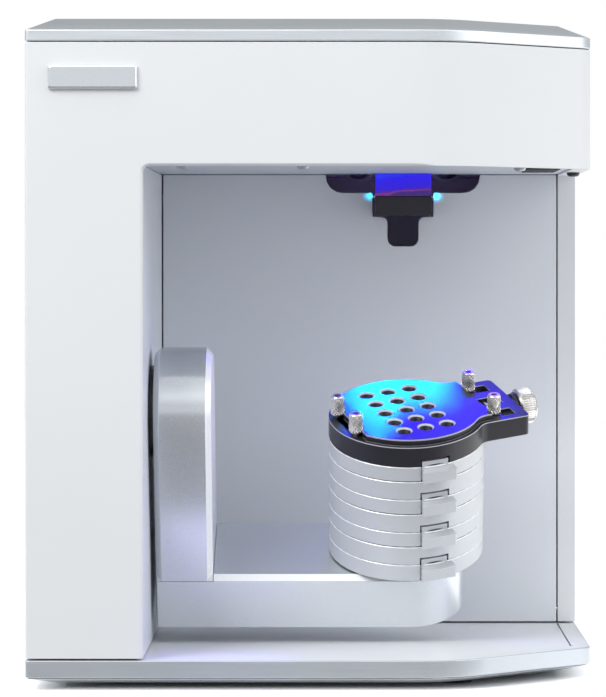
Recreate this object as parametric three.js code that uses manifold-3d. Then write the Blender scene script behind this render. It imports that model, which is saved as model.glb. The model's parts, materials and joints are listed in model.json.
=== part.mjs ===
// Desktop 3-D scanner with two motorised axes: a tilting L-shaped arm inside an open scan chamber
// carries a turntable with a stack of height spacers and a clamping jig. Units are millimetres,
// +Z is up, the front faces -Y and the origin is the middle of the base on the table top.

import * as THREE from 'three';
import { mergeVertices } from 'three/addons/utils/BufferGeometryUtils.js';
import Module from 'manifold-3d';

const wasm = await Module();
wasm.setup();

// Overall size and the two clearances that all pieces share
const width = 290;
const depth = 290;
const height = 340;
const gap = 0.3;
const overrun = 2;

// Plan outline: a large facet across the front right corner, nearly square corners elsewhere
const facetAcross = 71.5;
const facetBack = 68;
const frontBlend = 56;
const sideBlend = 18;
const cornerRadius = 2;
const cornerSteps = 4;

// Base, lid and feet
const footHeight = 2.5;
const footRadius = 9;
const footInset = 45;
const coverHeight = 3.5;
const coverBevelRun = 15;
const coverSetback = 1.2;
const coverLip = 0.3;
const baseHeight = 8.8;
const baseShadow = 0.9;
const edgeBreak = 0.4;
const lidHeight = 12.3;
const lidEdge = 5.9;
const lidBevelRun = 17;
const lidBevelLeft = 14.2;
const lidShadow = 0.5;
const lidWall = 6;
const lidSkin = 3;

// Housing and the panels that line the scan chamber
const columnWidth = 59.5;
const headerHeight = 62.9;
const rearDepth = 90;
const openingRadius = 3.3;
const openingBreak = 1.2;
const housingWall = 4;
const returnFlange = 9.8;
const panelThickness = 3;
const panelGroove = 0.8;
const ceilingRise = 0.7;
const floorSeamWidth = 0.8;
const floorSeamDepth = 1.2;
const floorSeamInset = 7;
const seamHoleRadius = 1.4;
const ceilingSlotLength = 17;
const ceilingSlotInset = 17;
const ceilingSlotRear = 98;
const ceilingSlotMargin = 4;

// Badge plate, left bare
const badgeWidth = 44.9;
const badgeHeight = 12.1;
const badgeThickness = 1.5;
const badgeBevel = 0.9;
const badgeInset = 11.8;
const badgeDrop = 12.1;

// T-shaped light opening in the back wall, the hood in front of it and the optics behind it
const wingSpan = 85.9;
const wingDrop = 10.3;
const wingRadius = 9.3;
const blockSpan = 33.8;
const blockDrop = 23.6;
const tongueWidth = 17.3;
const tongueDrop = 40.1;
const tongueRadius = 4.4;
const tongueFillet = 3.5;
const hoodWidth = 31;
const hoodDepth = 20;
const hoodDrop = 22.4;
const hoodWall = 1.8;
const windowDrop = 12.2;
const opticsAngle = 45;
const opticsSetback = 8.4;
const opticsRise = 2.8;
const cameraSpacing = 49.5;
const cameraSize = 22;
const cameraLength = 30;
const barrelRadius = 8.5;
const barrelLength = 20;
const lensRadius = 6.5;
const lensRecess = 2.5;
const projectorWidth = 26;
const projectorHeight = 38;
const projectorLength = 34;
const bracketPlate = 3.5;
const bracketCheek = 3;

// Tilt axis and the L-shaped arm
const tiltSetback = 79;
const tiltHeight = 122.8;
const tiltAngle = 22;
const legClearance = 2.7;
const legThickness = 30;
const armWidth = 67;
const armDrop = 80;
const footThickness = 30;
const armChamfer = 3;
const armFootEnd = 30.3;
const armFootRadius = 30;
const armPocketWall = 5;
const armPocketRoof = 8;
const armCoverThickness = 2.6;

// Tilt shaft and its belt drive in the column
const shaftRadius = 10;
const hubRadius = 24;
const hubPlate = 2.1;
const hubPlug = 15;
const hubPlugLength = 10;
const bearingRadius = 18;
const bearingWidth = 9;
const blockSize = 52;
const blockThickness = 17;
const tiltPulleyRadius = 32;
const tiltPinionRadius = 8;
const tiltPulleyWidth = 8;
const tiltBeltReach = 76;
const beltThickness = 1.4;
const beltWidth = 6;
const flangeWidth = 0.8;
const motorSize = 42;
const motorShaftRadius = 2.5;
const motorCornerRadius = 5;

// Turntable drive inside the foot of the arm
const tableInset = 96.1;
const tablePulleyRadius = 21;
const tablePinionRadius = 7;
const tablePulleyWidth = 5;
const tableBeltReach = 55;
const tableBeltWidth = 3.4;
const tableMotorSize = 40;
const tableMotorLength = 10;
const tableShaftRadius = 8;
const tableBearingRadius = 15;

// Turntable stack: platter and spacers with finger tabs
const discRadius = 41;
const tableLift = 0.7;
const platterHeight = 9.7;
const ringHeight = 7.9;
const spacerPitch = 18.75;
const spacerCount = 3;
const tableSpin = 23;
const ringGroove = 0.5;
const ringChamfer = 0.45;
const spigotRadius = 20;
const spigotHeight = 2.6;
const boreRadius = 8.3;
const tabTurn = -2.2;
const tabWidth = 17.5;
const tabHeight = 5.9;
const tabReach = 5;
const tabLean = 2.1;
const tabSlit = 0.7;
const keyWidth = 14.3;
const keyHeight = 2.8;
const keyDepth = 3.6;
const notchClearance = 0.9;

// Clamping jig on top of the stack
const jigHeight = 14.4;
const jigRimHeight = 10.9;
const jigLedge = 2.2;
const jigStep = 39;
const raisedEdge = 32.2;
const outriggerEnd = 60;
const outriggerWidth = 50;
const outriggerRadius = 2.5;
const neckRadius = 8;
const holePitch = 12.25;
const holeRadius = 3.6;
const holeDepth = 6;
const sinkRadius = 4.5;
const sinkDepth = 0.8;
const jawRest = 43;
const jawTravel = 7.2;
const jawThickness = 7;
const jawWidth = 41;
const jawRoof = 2;
const jawWall = 4.5;
const slotWidth = 8;
const channelWidth = 9;
const screwRadius = 2.5;
const screwRise = 4.5;
const threadPitch = 1.5;
const threadDepth = 0.4;
const collarRadius = 7.6;
const collarLength = 3;
const knobRadius = 9.5;
const knobLength = 9.3;
const knobRibs = 30;
const knobRibDepth = 0.6;
const knobChamfer = 0.9;
const postRadius = 3.65;
const postHeight = 10.8;
const postChamfer = 0.6;
const postNeck = 1.5;
const postStemRadius = 1.6;
const postStemLength = 5;
const socketFlats = 3;
const socketDepth = 4;
const fixedPostX = 34.2;
const fixedPostY = 12.2;
const jawPostY = 16;

// Rear panel with its ports, fan and vents, and what stands behind the back wall
const rearWidth = 236;
const rearBottom = 14.8;
const rearDrop = 10;
const rearRadius = 5;
const rearThickness = 3.2;
const rearReveal = 0.5;
const fanSize = 60;
const fanDepth = 15;
const fanBore = 27.5;
const fanHub = 12;
const fanBlade = 26.5;
const fanBladeCount = 7;
const fanBladeThickness = 1.4;
const fanBladePitch = 38;
const fanBoss = 3;
const fanPin = 2;
const fanX = 72;
const fanRise = 150.8;
const ventHeight = 3;
const ventPitch = 6;
const intakeLength = 44;
const intakeCount = 9;
const intakeX = -62;
const portRise = 62.8;
const portProud = 2.3;
const inletX = -78;
const inletWidth = 28;
const inletHeight = 21;
const inletDepth = 16;
const inletFlange = 3;
const bladeThickness = 1.8;
const bladeHeight = 4.5;
const switchX = -38;
const switchWidth = 20;
const switchHeight = 15.6;
const switchDepth = 12;
const switchWall = 1.6;
const rockerThrow = 8;
const usbX = 4;
const usbWidth = 13;
const usbHeight = 12;
const usbDepth = 14;
const boardWidth = 110;
const boardHeight = 120;
const boardThickness = 1.6;
const boardDrop = 44.6;
const boardX = -18;
const standoffLength = 7;
const standoffRadius = 3;
const standoffInset = 8;
const supplyWidth = 100;
const supplyDepth = 52;
const supplyHeight = 36;
const supplyX = -10;
const supplySetback = 10;

// Round things: number of sides, and number of steps round the corners of an outline
const fineSides = 40;
const planSteps = [2, 10, 6, 2, 2];
const footSteps = [2, 12, 12, 2];
const roundSides = 24;
const smallSides = 12;
const weld = 0.0001;

// Places worked out from the sizes above
const left = -width / 2;
const right = width / 2;
const front = -depth / 2;
const back = depth / 2;
const coverBottom = footHeight + gap;
const baseBottom = coverBottom + coverHeight + gap;
const floorTop = baseBottom + baseHeight;
const housingBottom = floorTop + baseShadow;
const lidBottom = height - lidHeight;
const housingTop = lidBottom - lidShadow;
const chamberTop = lidBottom - headerHeight;
const chamberLeft = left + columnWidth;
const chamberRight = right - returnFlange - panelGroove;
const backWall = back - rearDepth;
const backWallRear = backWall + panelThickness;
const sidePanelRear = chamberLeft - panelThickness;
const ceilingZ = chamberTop + ceilingRise;
const ceilingTop = ceilingZ + panelThickness;
const tiltY = front + tiltSetback;
const tiltZ = floorTop + tiltHeight;
const tableX = right - tableInset;
const legLeft = chamberLeft + legClearance;
const legRight = legLeft + legThickness;
const armHalf = armWidth / 2;
const footTop = -armDrop;
const footBottom = footTop - footThickness;
const footEnd = tableX + armFootEnd;
const platterBottom = footTop + tableLift;
const jigBottom = platterHeight + spacerCount * spacerPitch;
const outriggerHalf = outriggerWidth / 2;
const rearTop = chamberTop - rearDrop;
const panelOuter = back - rearReveal;
const panelInner = panelOuter - rearThickness;
const portZ = floorTop + portRise;
const degree = Math.PI / 180;

const point = (x, y) => new THREE.Vector2(x, y);

// Turn a three.js geometry into a solid that can be joined and cut
function solidOf(geometry) {
  const bare = new THREE.BufferGeometry();
  bare.setAttribute('position', geometry.attributes.position);
  bare.setIndex(geometry.index);
  const merged = mergeVertices(bare, weld);
  const index = merged.index.array;
  const triangles = [];
  for (let i = 0; i < index.length; i += 3) {
    const [a, b, c] = [index[i], index[i + 1], index[i + 2]];
    if (a !== b && b !== c && c !== a) triangles.push(a, b, c);
  }
  const mesh = new wasm.Mesh({
    numProp: 3,
    vertProperties: new Float32Array(merged.attributes.position.array),
    triVerts: new Uint32Array(triangles),
  });
  return new wasm.Manifold(mesh);
}

function geometryOf(solid) {
  const mesh = solid.getMesh();
  const geometry = new THREE.BufferGeometry();
  geometry.setAttribute('position', new THREE.BufferAttribute(new Float32Array(mesh.vertProperties), 3));
  geometry.setIndex(new THREE.BufferAttribute(new Uint32Array(mesh.triVerts), 1));
  geometry.computeVertexNormals();
  return geometry;
}

function combine(operation, first, others) {
  let solid = solidOf(first);
  for (const other of others) {
    solid = solid[operation](solidOf(other));
  }
  return geometryOf(solid);
}

const join = (first, ...others) => combine('add', first, others);
const cut = (first, ...others) => combine('subtract', first, others);
const meet = (first, ...others) => combine('intersect', first, others);

// Corner points of a polygon become arcs of the given radii, with the same number of points for
// every inset, so that rings of one outline can be lofted to each other
function roundedPolygon(corners, radii, steps = corners.map(() => cornerSteps)) {
  const points = [];
  corners.forEach((corner, i) => {
    const before = corners[(i + corners.length - 1) % corners.length];
    const after = corners[(i + 1) % corners.length];
    const toBefore = before.clone().sub(corner).normalize();
    const toAfter = after.clone().sub(corner).normalize();
    const half = Math.acos(THREE.MathUtils.clamp(toBefore.dot(toAfter), -1, 1)) / 2;
    const radius = radii[i];
    if (radius === 0) {
      points.push(corner.clone());
      return;
    }
    const bisector = toBefore.clone().add(toAfter).normalize();
    const centre = corner.clone().addScaledVector(bisector, radius / Math.sin(half));
    const start = corner.clone().addScaledVector(toBefore, radius / Math.tan(half)).sub(centre);
    const turn = Math.sign(toAfter.cross(toBefore)) * (Math.PI - 2 * half);
    for (let step = 0; step <= steps[i]; step += 1) {
      const spoke = start.clone().rotateAround(point(0, 0), (turn * step) / steps[i]);
      points.push(spoke.add(centre));
    }
  });
  return points;
}

// Move the sides of a convex polygon inwards; distance i belongs to the side from corner i onwards
function insetPolygon(corners, distances) {
  return corners.map((corner, i) => {
    const last = (i + corners.length - 1) % corners.length;
    const after = corners[(i + 1) % corners.length];
    const along = corner.clone().sub(corners[last]).normalize();
    const next = after.clone().sub(corner).normalize();
    const sine = along.cross(next);
    return corner.clone()
      .addScaledVector(next, distances[last] / sine)
      .addScaledVector(along, -distances[i] / sine);
  });
}

const planCorners = [
  point(left, front),
  point(right - facetAcross, front),
  point(right, front + facetBack),
  point(right, back),
  point(left, back),
];
const planRadii = [cornerRadius, frontBlend, sideBlend, cornerRadius, cornerRadius];

// The plan outline of base, housing and lid, moved inwards by a distance that the left side can
// have for itself
function planOutline(inset, leftInset = inset) {
  const radii = planRadii.map((radius) => Math.max(radius - inset, edgeBreak));
  const corners = insetPolygon(planCorners, [inset, inset, inset, inset, leftInset]);
  return roundedPolygon(corners, radii, planSteps);
}

// Points along an arc, both ends included
function arc(x, y, radius, start, end, steps) {
  const points = [];
  for (let step = 0; step <= steps; step += 1) {
    const angle = start + ((end - start) * step) / steps;
    points.push(point(x + radius * Math.cos(angle), y + radius * Math.sin(angle)));
  }
  return points;
}

function rectangle(x0, x1, y0, y1, radius = 0) {
  const corners = [point(x0, y0), point(x1, y0), point(x1, y1), point(x0, y1)];
  return roundedPolygon(corners, [radius, radius, radius, radius]);
}

// Straight extrusions along Z, X and Y; outlines are given in the two other axes
function extrude(outline, length, holes = []) {
  const shape = new THREE.Shape(outline);
  for (const hole of holes) {
    shape.holes.push(new THREE.Path(hole));
  }
  return new THREE.ExtrudeGeometry(shape, { depth: length, bevelEnabled: false });
}

function alongZ(outline, z0, z1, holes = []) {
  return extrude(outline, z1 - z0, holes).translate(0, 0, z0);
}

function alongX(outline, x0, x1, holes = []) {
  const turn = new THREE.Matrix4().makeBasis(
    new THREE.Vector3(0, 1, 0), new THREE.Vector3(0, 0, 1), new THREE.Vector3(1, 0, 0),
  );
  return extrude(outline, x1 - x0, holes).applyMatrix4(turn).translate(x0, 0, 0);
}

function alongY(outline, y0, y1, holes = []) {
  const turn = new THREE.Matrix4().makeBasis(
    new THREE.Vector3(1, 0, 0), new THREE.Vector3(0, 0, 1), new THREE.Vector3(0, -1, 0),
  );
  return extrude(outline, y1 - y0, holes).applyMatrix4(turn).translate(0, y1, 0);
}

function box(x0, x1, y0, y1, z0, z1) {
  const geometry = new THREE.BoxGeometry(x1 - x0, y1 - y0, z1 - z0);
  return geometry.translate((x0 + x1) / 2, (y0 + y1) / 2, (z0 + z1) / 2);
}

// Loft through rings of equal point count, each { outline, z }
function loft(rings) {
  const count = rings[0].outline.length;
  const positions = [];
  for (const ring of rings) {
    for (const p of ring.outline) {
      positions.push(p.x, p.y, ring.z);
    }
  }
  const index = [];
  for (let level = 0; level + 1 < rings.length; level += 1) {
    for (let i = 0; i < count; i += 1) {
      const a = level * count + i;
      const b = level * count + ((i + 1) % count);
      index.push(a, b, b + count, a, b + count, a + count);
    }
  }
  const top = (rings.length - 1) * count;
  for (const [a, b, c] of THREE.ShapeUtils.triangulateShape(rings[0].outline, [])) {
    index.push(a, c, b);
  }
  for (const [a, b, c] of THREE.ShapeUtils.triangulateShape(rings[rings.length - 1].outline, [])) {
    index.push(top + a, top + b, top + c);
  }
  const geometry = new THREE.BufferGeometry();
  geometry.setAttribute('position', new THREE.Float32BufferAttribute(positions, 3));
  geometry.setIndex(index);
  return geometry;
}

// Solid of revolution about Z from a closed profile of [radius, height] pairs
function turned(profile, sides = roundSides) {
  const points = profile.map(([radius, z]) => point(radius, z));
  points.push(points[0].clone());
  return new THREE.LatheGeometry(points, sides).rotateX(Math.PI / 2);
}

function drum(radius, z0, z1, sides = roundSides) {
  return turned([[0, z0], [radius, z0], [radius, z1], [0, z1]], sides);
}

// Stand a geometry made about Z along X or along Y instead
const aboutX = (geometry) => geometry.rotateY(Math.PI / 2);
const aboutY = (geometry) => geometry.rotateX(-Math.PI / 2);

function finish(color, roughness, metalness) {
  return { color, roughness, metalness };
}

const whitePaint = finish(0xe9edef, 0.42, 0);
const brushedPlate = finish(0xb3bec6, 0.38, 0.9);
const silverAnodised = finish(0xc4c9d1, 0.4, 0.85);
const chamberGrey = finish(0xa6acb6, 0.5, 0.6);
const blackAnodised = finish(0x33333c, 0.45, 0.5);
const blackPlastic = finish(0x1c1b20, 0.5, 0);
const blackRubber = finish(0x19191b, 0.9, 0);
const steel = finish(0xc8c3b9, 0.3, 1);
const glassBlue = finish(0x2b12ff, 0.12, 0);
const lensGlass = finish(0x20203a, 0.06, 0);
const boardGreen = finish(0x1f5a3a, 0.6, 0);
const galvanised = finish(0xa9adaf, 0.45, 0.9);

const scanner = new THREE.Group();

function addPiece(group, name, geometry, { color, roughness, metalness }) {
  const material = new THREE.MeshStandardMaterial({ color, roughness, metalness });
  const mesh = new THREE.Mesh(geometryOf(solidOf(geometry)), material);
  mesh.name = name;
  group.add(mesh);
  return mesh;
}

// Base plate with its floor seams, bottom cover and feet
function basePlate() {
  const plate = loft([
    { outline: planOutline(edgeBreak), z: baseBottom },
    { outline: planOutline(0), z: baseBottom + edgeBreak },
    { outline: planOutline(0), z: floorTop - edgeBreak },
    { outline: planOutline(edgeBreak), z: floorTop },
  ]);
  const seamEnd = front + facetBack + floorSeamInset;
  const seamBottom = floorTop - floorSeamDepth;
  const seam = box(
    chamberRight, chamberRight + floorSeamWidth, seamEnd, backWall, seamBottom, floorTop + overrun,
  );
  const hole = drum(seamHoleRadius, seamBottom - floorSeamDepth, floorTop + overrun, smallSides);
  hole.translate(chamberRight + floorSeamWidth / 2, seamEnd, 0);
  return cut(plate, seam, hole);
}

function bottomCover() {
  return loft([
    { outline: planOutline(coverBevelRun), z: coverBottom },
    { outline: planOutline(coverSetback), z: coverBottom + coverHeight - coverLip },
    { outline: planOutline(coverSetback), z: coverBottom + coverHeight },
  ]);
}

function rubberFoot(x, y) {
  const rim = footRadius - edgeBreak;
  const profile = [[0, 0], [rim, 0], [footRadius, edgeBreak], [footRadius, footHeight], [0, footHeight]];
  return turned(profile, smallSides).translate(x, y, 0);
}

// White housing: column, header and rear, open to the front and the right
function housingShell() {
  const outer = alongZ(planOutline(0), housingBottom, housingTop);
  const inside = alongZ(planOutline(housingWall), housingBottom - overrun, housingTop + overrun);
  const flangeBack = backWall + housingWall;
  const sideInner = right - housingWall - overrun;
  const post = box(right - returnFlange, right - edgeBreak, backWall, flangeBack, housingBottom, chamberTop);
  const rail = box(
    right - returnFlange, right - edgeBreak, front, flangeBack, chamberTop, chamberTop + housingWall,
  );
  const flanges = meet(join(post, rail), alongZ(planOutline(edgeBreak), housingBottom, housingTop));
  const farRight = right + overrun;
  const openingFoot = housingBottom - overrun;
  const opening = alongY(
    roundedPolygon(
      [
        point(chamberLeft, openingFoot), point(farRight, openingFoot),
        point(farRight, chamberTop), point(chamberLeft, chamberTop),
      ],
      [0, 0, 0, openingRadius],
    ),
    front - overrun, backWall,
  );
  const rear = alongY(
    rectangle(-rearWidth / 2, rearWidth / 2, floorTop + rearBottom, rearTop, rearRadius),
    back - housingWall - overrun, back + overrun,
  );
  const shell = join(cut(outer, inside), flanges);
  return cut(shell, opening, openingChamfer(sideInner), rear);
}

// The broken edge round the front of the chamber opening
function openingChamfer(farRight) {
  const ring = (grow) => roundedPolygon(
    [
      point(chamberLeft - grow, housingBottom - overrun), point(farRight, housingBottom - overrun),
      point(farRight, chamberTop + grow), point(chamberLeft - grow, chamberTop + grow),
    ],
    [0, 0, 0, openingRadius + grow],
  );
  const flare = loft([
    { outline: ring(-overrun), z: 0 },
    { outline: ring(openingBreak + overrun), z: openingBreak + 2 * overrun },
  ]);
  const turn = new THREE.Matrix4().makeBasis(
    new THREE.Vector3(1, 0, 0), new THREE.Vector3(0, 0, 1), new THREE.Vector3(0, -1, 0),
  );
  return flare.applyMatrix4(turn).translate(0, front + openingBreak + overrun, 0);
}

function topLid() {
  const lid = loft([
    { outline: planOutline(edgeBreak), z: lidBottom },
    { outline: planOutline(0), z: lidBottom + edgeBreak },
    { outline: planOutline(0), z: lidBottom + lidEdge - edgeBreak },
    { outline: planOutline(edgeBreak), z: lidBottom + lidEdge },
    { outline: planOutline(lidBevelRun, lidBevelLeft), z: height },
  ]);
  const hollow = loft([
    { outline: planOutline(lidWall), z: lidBottom - overrun },
    { outline: planOutline(lidWall), z: lidBottom + lidEdge - lidSkin },
    { outline: planOutline(lidBevelRun + lidWall, lidBevelLeft + lidWall), z: height - lidSkin },
  ]);
  return cut(lid, hollow);
}

function badgePlate() {
  const plateLeft = left + badgeInset;
  const plateTop = lidBottom - badgeDrop;
  const x1 = plateLeft + badgeWidth;
  const z0 = plateTop - badgeHeight;
  const plate = loft([
    { outline: rectangle(plateLeft, x1, z0, plateTop, cornerRadius / 2), z: 0 },
    { outline: rectangle(plateLeft, x1, z0, plateTop, cornerRadius / 2), z: badgeThickness },
    {
      outline: rectangle(
        plateLeft + badgeBevel, x1 - badgeBevel, z0 + badgeBevel, plateTop - badgeBevel, cornerRadius / 2,
      ),
      z: badgeThickness + badgeBevel,
    },
  ]);
  const turn = new THREE.Matrix4().makeBasis(
    new THREE.Vector3(1, 0, 0), new THREE.Vector3(0, 0, 1), new THREE.Vector3(0, -1, 0),
  );
  return plate.applyMatrix4(turn).translate(0, front - gap, 0);
}

// Panels of the scan chamber
function sideWallPanel() {
  const wall = box(
    sidePanelRear, chamberLeft, front + housingWall + gap, backWallRear, housingBottom, ceilingZ - gap,
  );
  const passage = aboutX(drum(shaftRadius + gap, sidePanelRear - overrun, chamberLeft + overrun));
  return cut(wall, passage.translate(0, tiltY, tiltZ));
}

function lightOpening() {
  const wing = wingSpan / 2;
  const block = blockSpan / 2;
  const tongue = tongueWidth / 2;
  const half = [
    point(-wing, overrun), point(-wing, -wingDrop), point(-block, -wingDrop), point(-block, -blockDrop),
    point(-tongue, -blockDrop), point(-tongue, -tongueDrop),
  ];
  const halfRadii = [0, wingRadius, 0, 0, tongueFillet, tongueRadius];
  const corners = half.concat(half.map((p) => point(-p.x, p.y)).reverse());
  const radii = halfRadii.concat(halfRadii.slice().reverse());
  const outline = roundedPolygon(corners, radii);
  return alongY(outline, backWall - overrun, backWallRear + overrun).translate(tableX, 0, ceilingZ);
}

function backWallPanel() {
  const wall = box(
    chamberLeft + panelGroove, chamberRight, backWall, backWallRear, housingBottom, ceilingZ - gap,
  );
  return cut(wall, lightOpening());
}

function ceilingPanel() {
  const inner = alongZ(planOutline(housingWall + gap), ceilingZ, ceilingTop);
  const limits = box(sidePanelRear, chamberRight, front, back, chamberTop - overrun, ceilingTop + overrun);
  const lightWell = box(
    tableX - wingSpan / 2, tableX + wingSpan / 2, backWallRear - panelThickness, backWallRear + hoodDepth * 2,
    chamberTop - overrun, ceilingTop + overrun,
  );
  const slotRight = right - ceilingSlotInset;
  const slotZone = box(
    slotRight - ceilingSlotLength, slotRight, front, front + ceilingSlotRear,
    chamberTop - overrun, ceilingTop + overrun,
  );
  const clear = alongZ(planOutline(housingWall + ceilingSlotMargin), chamberTop, ceilingTop + overrun);
  return cut(meet(inner, limits), lightWell, meet(slotZone, clear));
}

// Light hood that hangs from the ceiling in front of the opening, with its glowing window
function projectorHood() {
  const half = hoodWidth / 2;
  const hoodTop = ceilingZ - gap;
  const hoodBottom = chamberTop - hoodDrop;
  const hoodFront = backWall - hoodDepth;
  const rear = backWall - gap;
  const shell = box(tableX - half, tableX + half, hoodFront, rear, hoodBottom, hoodTop);
  const inside = box(
    tableX - half + hoodWall, tableX + half - hoodWall, hoodFront + hoodWall, rear + overrun,
    hoodBottom - overrun, hoodTop - hoodWall,
  );
  const pane = box(
    tableX - half - overrun, tableX + half + overrun,
    hoodFront - overrun, hoodFront + hoodWall / 2 + gap, hoodTop - windowDrop - gap, hoodTop + overrun,
  );
  return cut(shell, inside, pane);
}

function hoodWindow() {
  const half = hoodWidth / 2;
  const hoodTop = ceilingZ - gap;
  const hoodFront = backWall - hoodDepth;
  return box(tableX - half, tableX + half, hoodFront, hoodFront + hoodWall / 2, hoodTop - windowDrop, hoodTop);
}

// Optics in the header: their front stands just behind the opening, and all three look down
// through it at the crossing of the tilt and turntable axes
const optics = new THREE.Group();
const opticsY = backWall + opticsSetback;
const opticsZ = chamberTop + opticsRise;
optics.position.set(tableX, opticsY, opticsZ);
optics.rotation.x = -opticsAngle * degree;
const barrelTop = barrelLength;
const bodyBottom = barrelTop + gap;
const plateBottom = bodyBottom + projectorLength + gap;

function lensBarrel(radius) {
  const rim = radius - lensRecess / 2;
  return turned([
    [0, lensRecess], [lensRadius, lensRecess], [rim, 0], [radius, 0], [radius, barrelTop], [0, barrelTop],
  ]);
}

function opticsBody(halfWidth, halfHeight, length) {
  const low = plateBottom - gap - length;
  const body = box(-halfWidth, halfWidth, -halfHeight, halfHeight, low, plateBottom - gap);
  const neck = drum(barrelRadius - gap, barrelTop + gap, low + overrun);
  return low > barrelTop + 2 * gap ? join(body, neck) : body;
}

// Inclined plate with two cheeks that stand on the ceiling panel
function opticsBracket() {
  const half = cameraSpacing / 2 + cameraSize / 2;
  const plate = box(
    -half - gap, half + gap, -projectorHeight / 2, projectorHeight / 2, plateBottom, plateBottom + bracketPlate,
  );
  const tilt = new THREE.Matrix4().makeRotationX(-opticsAngle * degree);
  plate.applyMatrix4(tilt).translate(0, opticsY, opticsZ);
  const angle = opticsAngle * degree;
  const place = (across, along) => point(
    opticsY + across * Math.cos(angle) + along * Math.sin(angle),
    opticsZ - across * Math.sin(angle) + along * Math.cos(angle),
  );
  const low = place(projectorHeight / 2, plateBottom);
  const lowBack = place(projectorHeight / 2, plateBottom + bracketPlate);
  const high = place(-projectorHeight / 2, plateBottom);
  const highBack = place(-projectorHeight / 2, plateBottom + bracketPlate);
  const base = ceilingTop + gap;
  const outline = [point(high.x, base), point(lowBack.x, base), lowBack, highBack, high];
  const cheek = (x) => alongX(outline, x, x + bracketCheek);
  const seat = low.x - high.x;
  const strap = box(
    -half - bracketCheek - gap, half + bracketCheek + gap, high.x, high.x + seat / 4, base, base + bracketCheek,
  );
  const well = box(-half, half, high.x - overrun, high.x + seat, base - overrun, base + seat);
  const feet = cut(strap, well);
  return join(cheek(-half - bracketCheek - gap), cheek(half + gap), plate, feet).translate(tableX, 0, 0);
}

// Arm: leg and foot are one L in profile, parted just below the inner corner
const arm = new THREE.Group();
arm.position.set(0, tiltY, tiltZ);
arm.rotation.x = tiltAngle * degree;

function bevelled(outline, length, chamfer) {
  const shape = new THREE.Shape(outline);
  return new THREE.ExtrudeGeometry(shape, {
    depth: length - 2 * chamfer,
    bevelThickness: chamfer,
    bevelSize: chamfer,
    bevelOffset: -chamfer,
    bevelSegments: 1,
  }).translate(0, 0, chamfer);
}

function legBlank() {
  const profile = [
    point(-armHalf, footBottom), point(armHalf, footBottom), ...arc(0, 0, armHalf, 0, Math.PI, roundSides),
  ];
  const turn = new THREE.Matrix4().makeBasis(
    new THREE.Vector3(0, 1, 0), new THREE.Vector3(0, 0, 1), new THREE.Vector3(1, 0, 0),
  );
  return bevelled(profile, legThickness, armChamfer).applyMatrix4(turn).translate(legLeft, 0, 0);
}

function footBlank() {
  const outline = roundedPolygon(
    [point(legLeft, -armHalf), point(footEnd, -armHalf), point(footEnd, armHalf), point(legLeft, armHalf)],
    [cornerRadius, armFootRadius, armFootRadius, cornerRadius], footSteps,
  );
  const inner = roundedPolygon(
    [
      point(legLeft + edgeBreak, -armHalf + armChamfer), point(footEnd - armChamfer, -armHalf + armChamfer),
      point(footEnd - armChamfer, armHalf - armChamfer), point(legLeft + edgeBreak, armHalf - armChamfer),
    ],
    [cornerRadius, armFootRadius - armChamfer, armFootRadius - armChamfer, cornerRadius], footSteps,
  );
  return loft([
    { outline: outline, z: footBottom },
    { outline: outline, z: footTop - armChamfer },
    { outline: inner, z: footTop },
  ]);
}

function legZone(clearance) {
  const reach = armWidth + footThickness;
  return box(
    legLeft - overrun, legRight + clearance, -reach, reach,
    footTop - armChamfer - clearance, armHalf + reach,
  );
}

function armLeg() {
  const hubSeat = aboutX(drum(hubPlug + gap, legLeft - overrun, legLeft + hubPlugLength + gap));
  return cut(meet(join(legBlank(), footBlank()), legZone(0)), hubSeat);
}

const pocketLeft = legLeft + armPocketWall;
const pocketHalf = armHalf - armPocketWall;

function pocketOutline(inset) {
  const x1 = footEnd - armPocketWall - inset;
  const roundEnd = armFootRadius - armPocketWall - inset;
  const half = pocketHalf - inset;
  return roundedPolygon(
    [point(pocketLeft + inset, -half), point(x1, -half), point(x1, half), point(pocketLeft + inset, half)],
    [cornerRadius, roundEnd, roundEnd, cornerRadius],
  );
}

function armFoot() {
  const blank = cut(join(legBlank(), footBlank()), legZone(gap));
  const trimmed = meet(blank, footEnvelope());
  const pocket = alongZ(pocketOutline(0), footBottom - overrun, footTop - armPocketRoof);
  const bearingHole = drum(tableBearingRadius + gap, footTop - armPocketRoof - overrun, footTop + overrun);
  return cut(trimmed, pocket, bearingHole.translate(tableX, 0, 0));
}

function footEnvelope() {
  return box(legLeft, footEnd, -armHalf, armHalf, footBottom, footTop);
}

function armCover() {
  return alongZ(pocketOutline(gap), footBottom, footBottom + armCoverThickness);
}

// Tilt shaft with its hub flange; it turns in a bearing block behind the side panel
const blockRight = sidePanelRear - gap;
const blockLeft = blockRight - blockThickness;
const pulleyRight = blockLeft - 2 * gap - flangeWidth;
const pulleyLeft = pulleyRight - tiltPulleyWidth;

function tiltShaft() {
  const shaft = turned([
    [0, pulleyLeft - overrun], [shaftRadius, pulleyLeft - overrun], [shaftRadius, chamberLeft + gap],
    [hubRadius, chamberLeft + gap], [hubRadius, chamberLeft + gap + hubPlate],
    [hubPlug, chamberLeft + gap + hubPlate], [hubPlug, legLeft + hubPlugLength], [0, legLeft + hubPlugLength],
  ]);
  return aboutX(shaft);
}

function pulley(radius, bore, low, high) {
  const lip = radius + beltThickness;
  return turned([
    [bore, low - flangeWidth], [lip, low - flangeWidth], [lip, low], [radius, low], [radius, high], [lip, high],
    [lip, high + flangeWidth], [bore, high + flangeWidth],
  ]);
}

// A belt round two pulleys lies on their tangents: the outline of two circles held by a band
function beltLoop(radiusA, centreB, radiusB) {
  const tangent = Math.acos((radiusA - radiusB) / centreB);
  return [
    ...arc(0, 0, radiusA, tangent, 2 * Math.PI - tangent, roundSides),
    ...arc(centreB, 0, radiusB, -tangent, tangent, smallSides),
  ];
}

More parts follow.
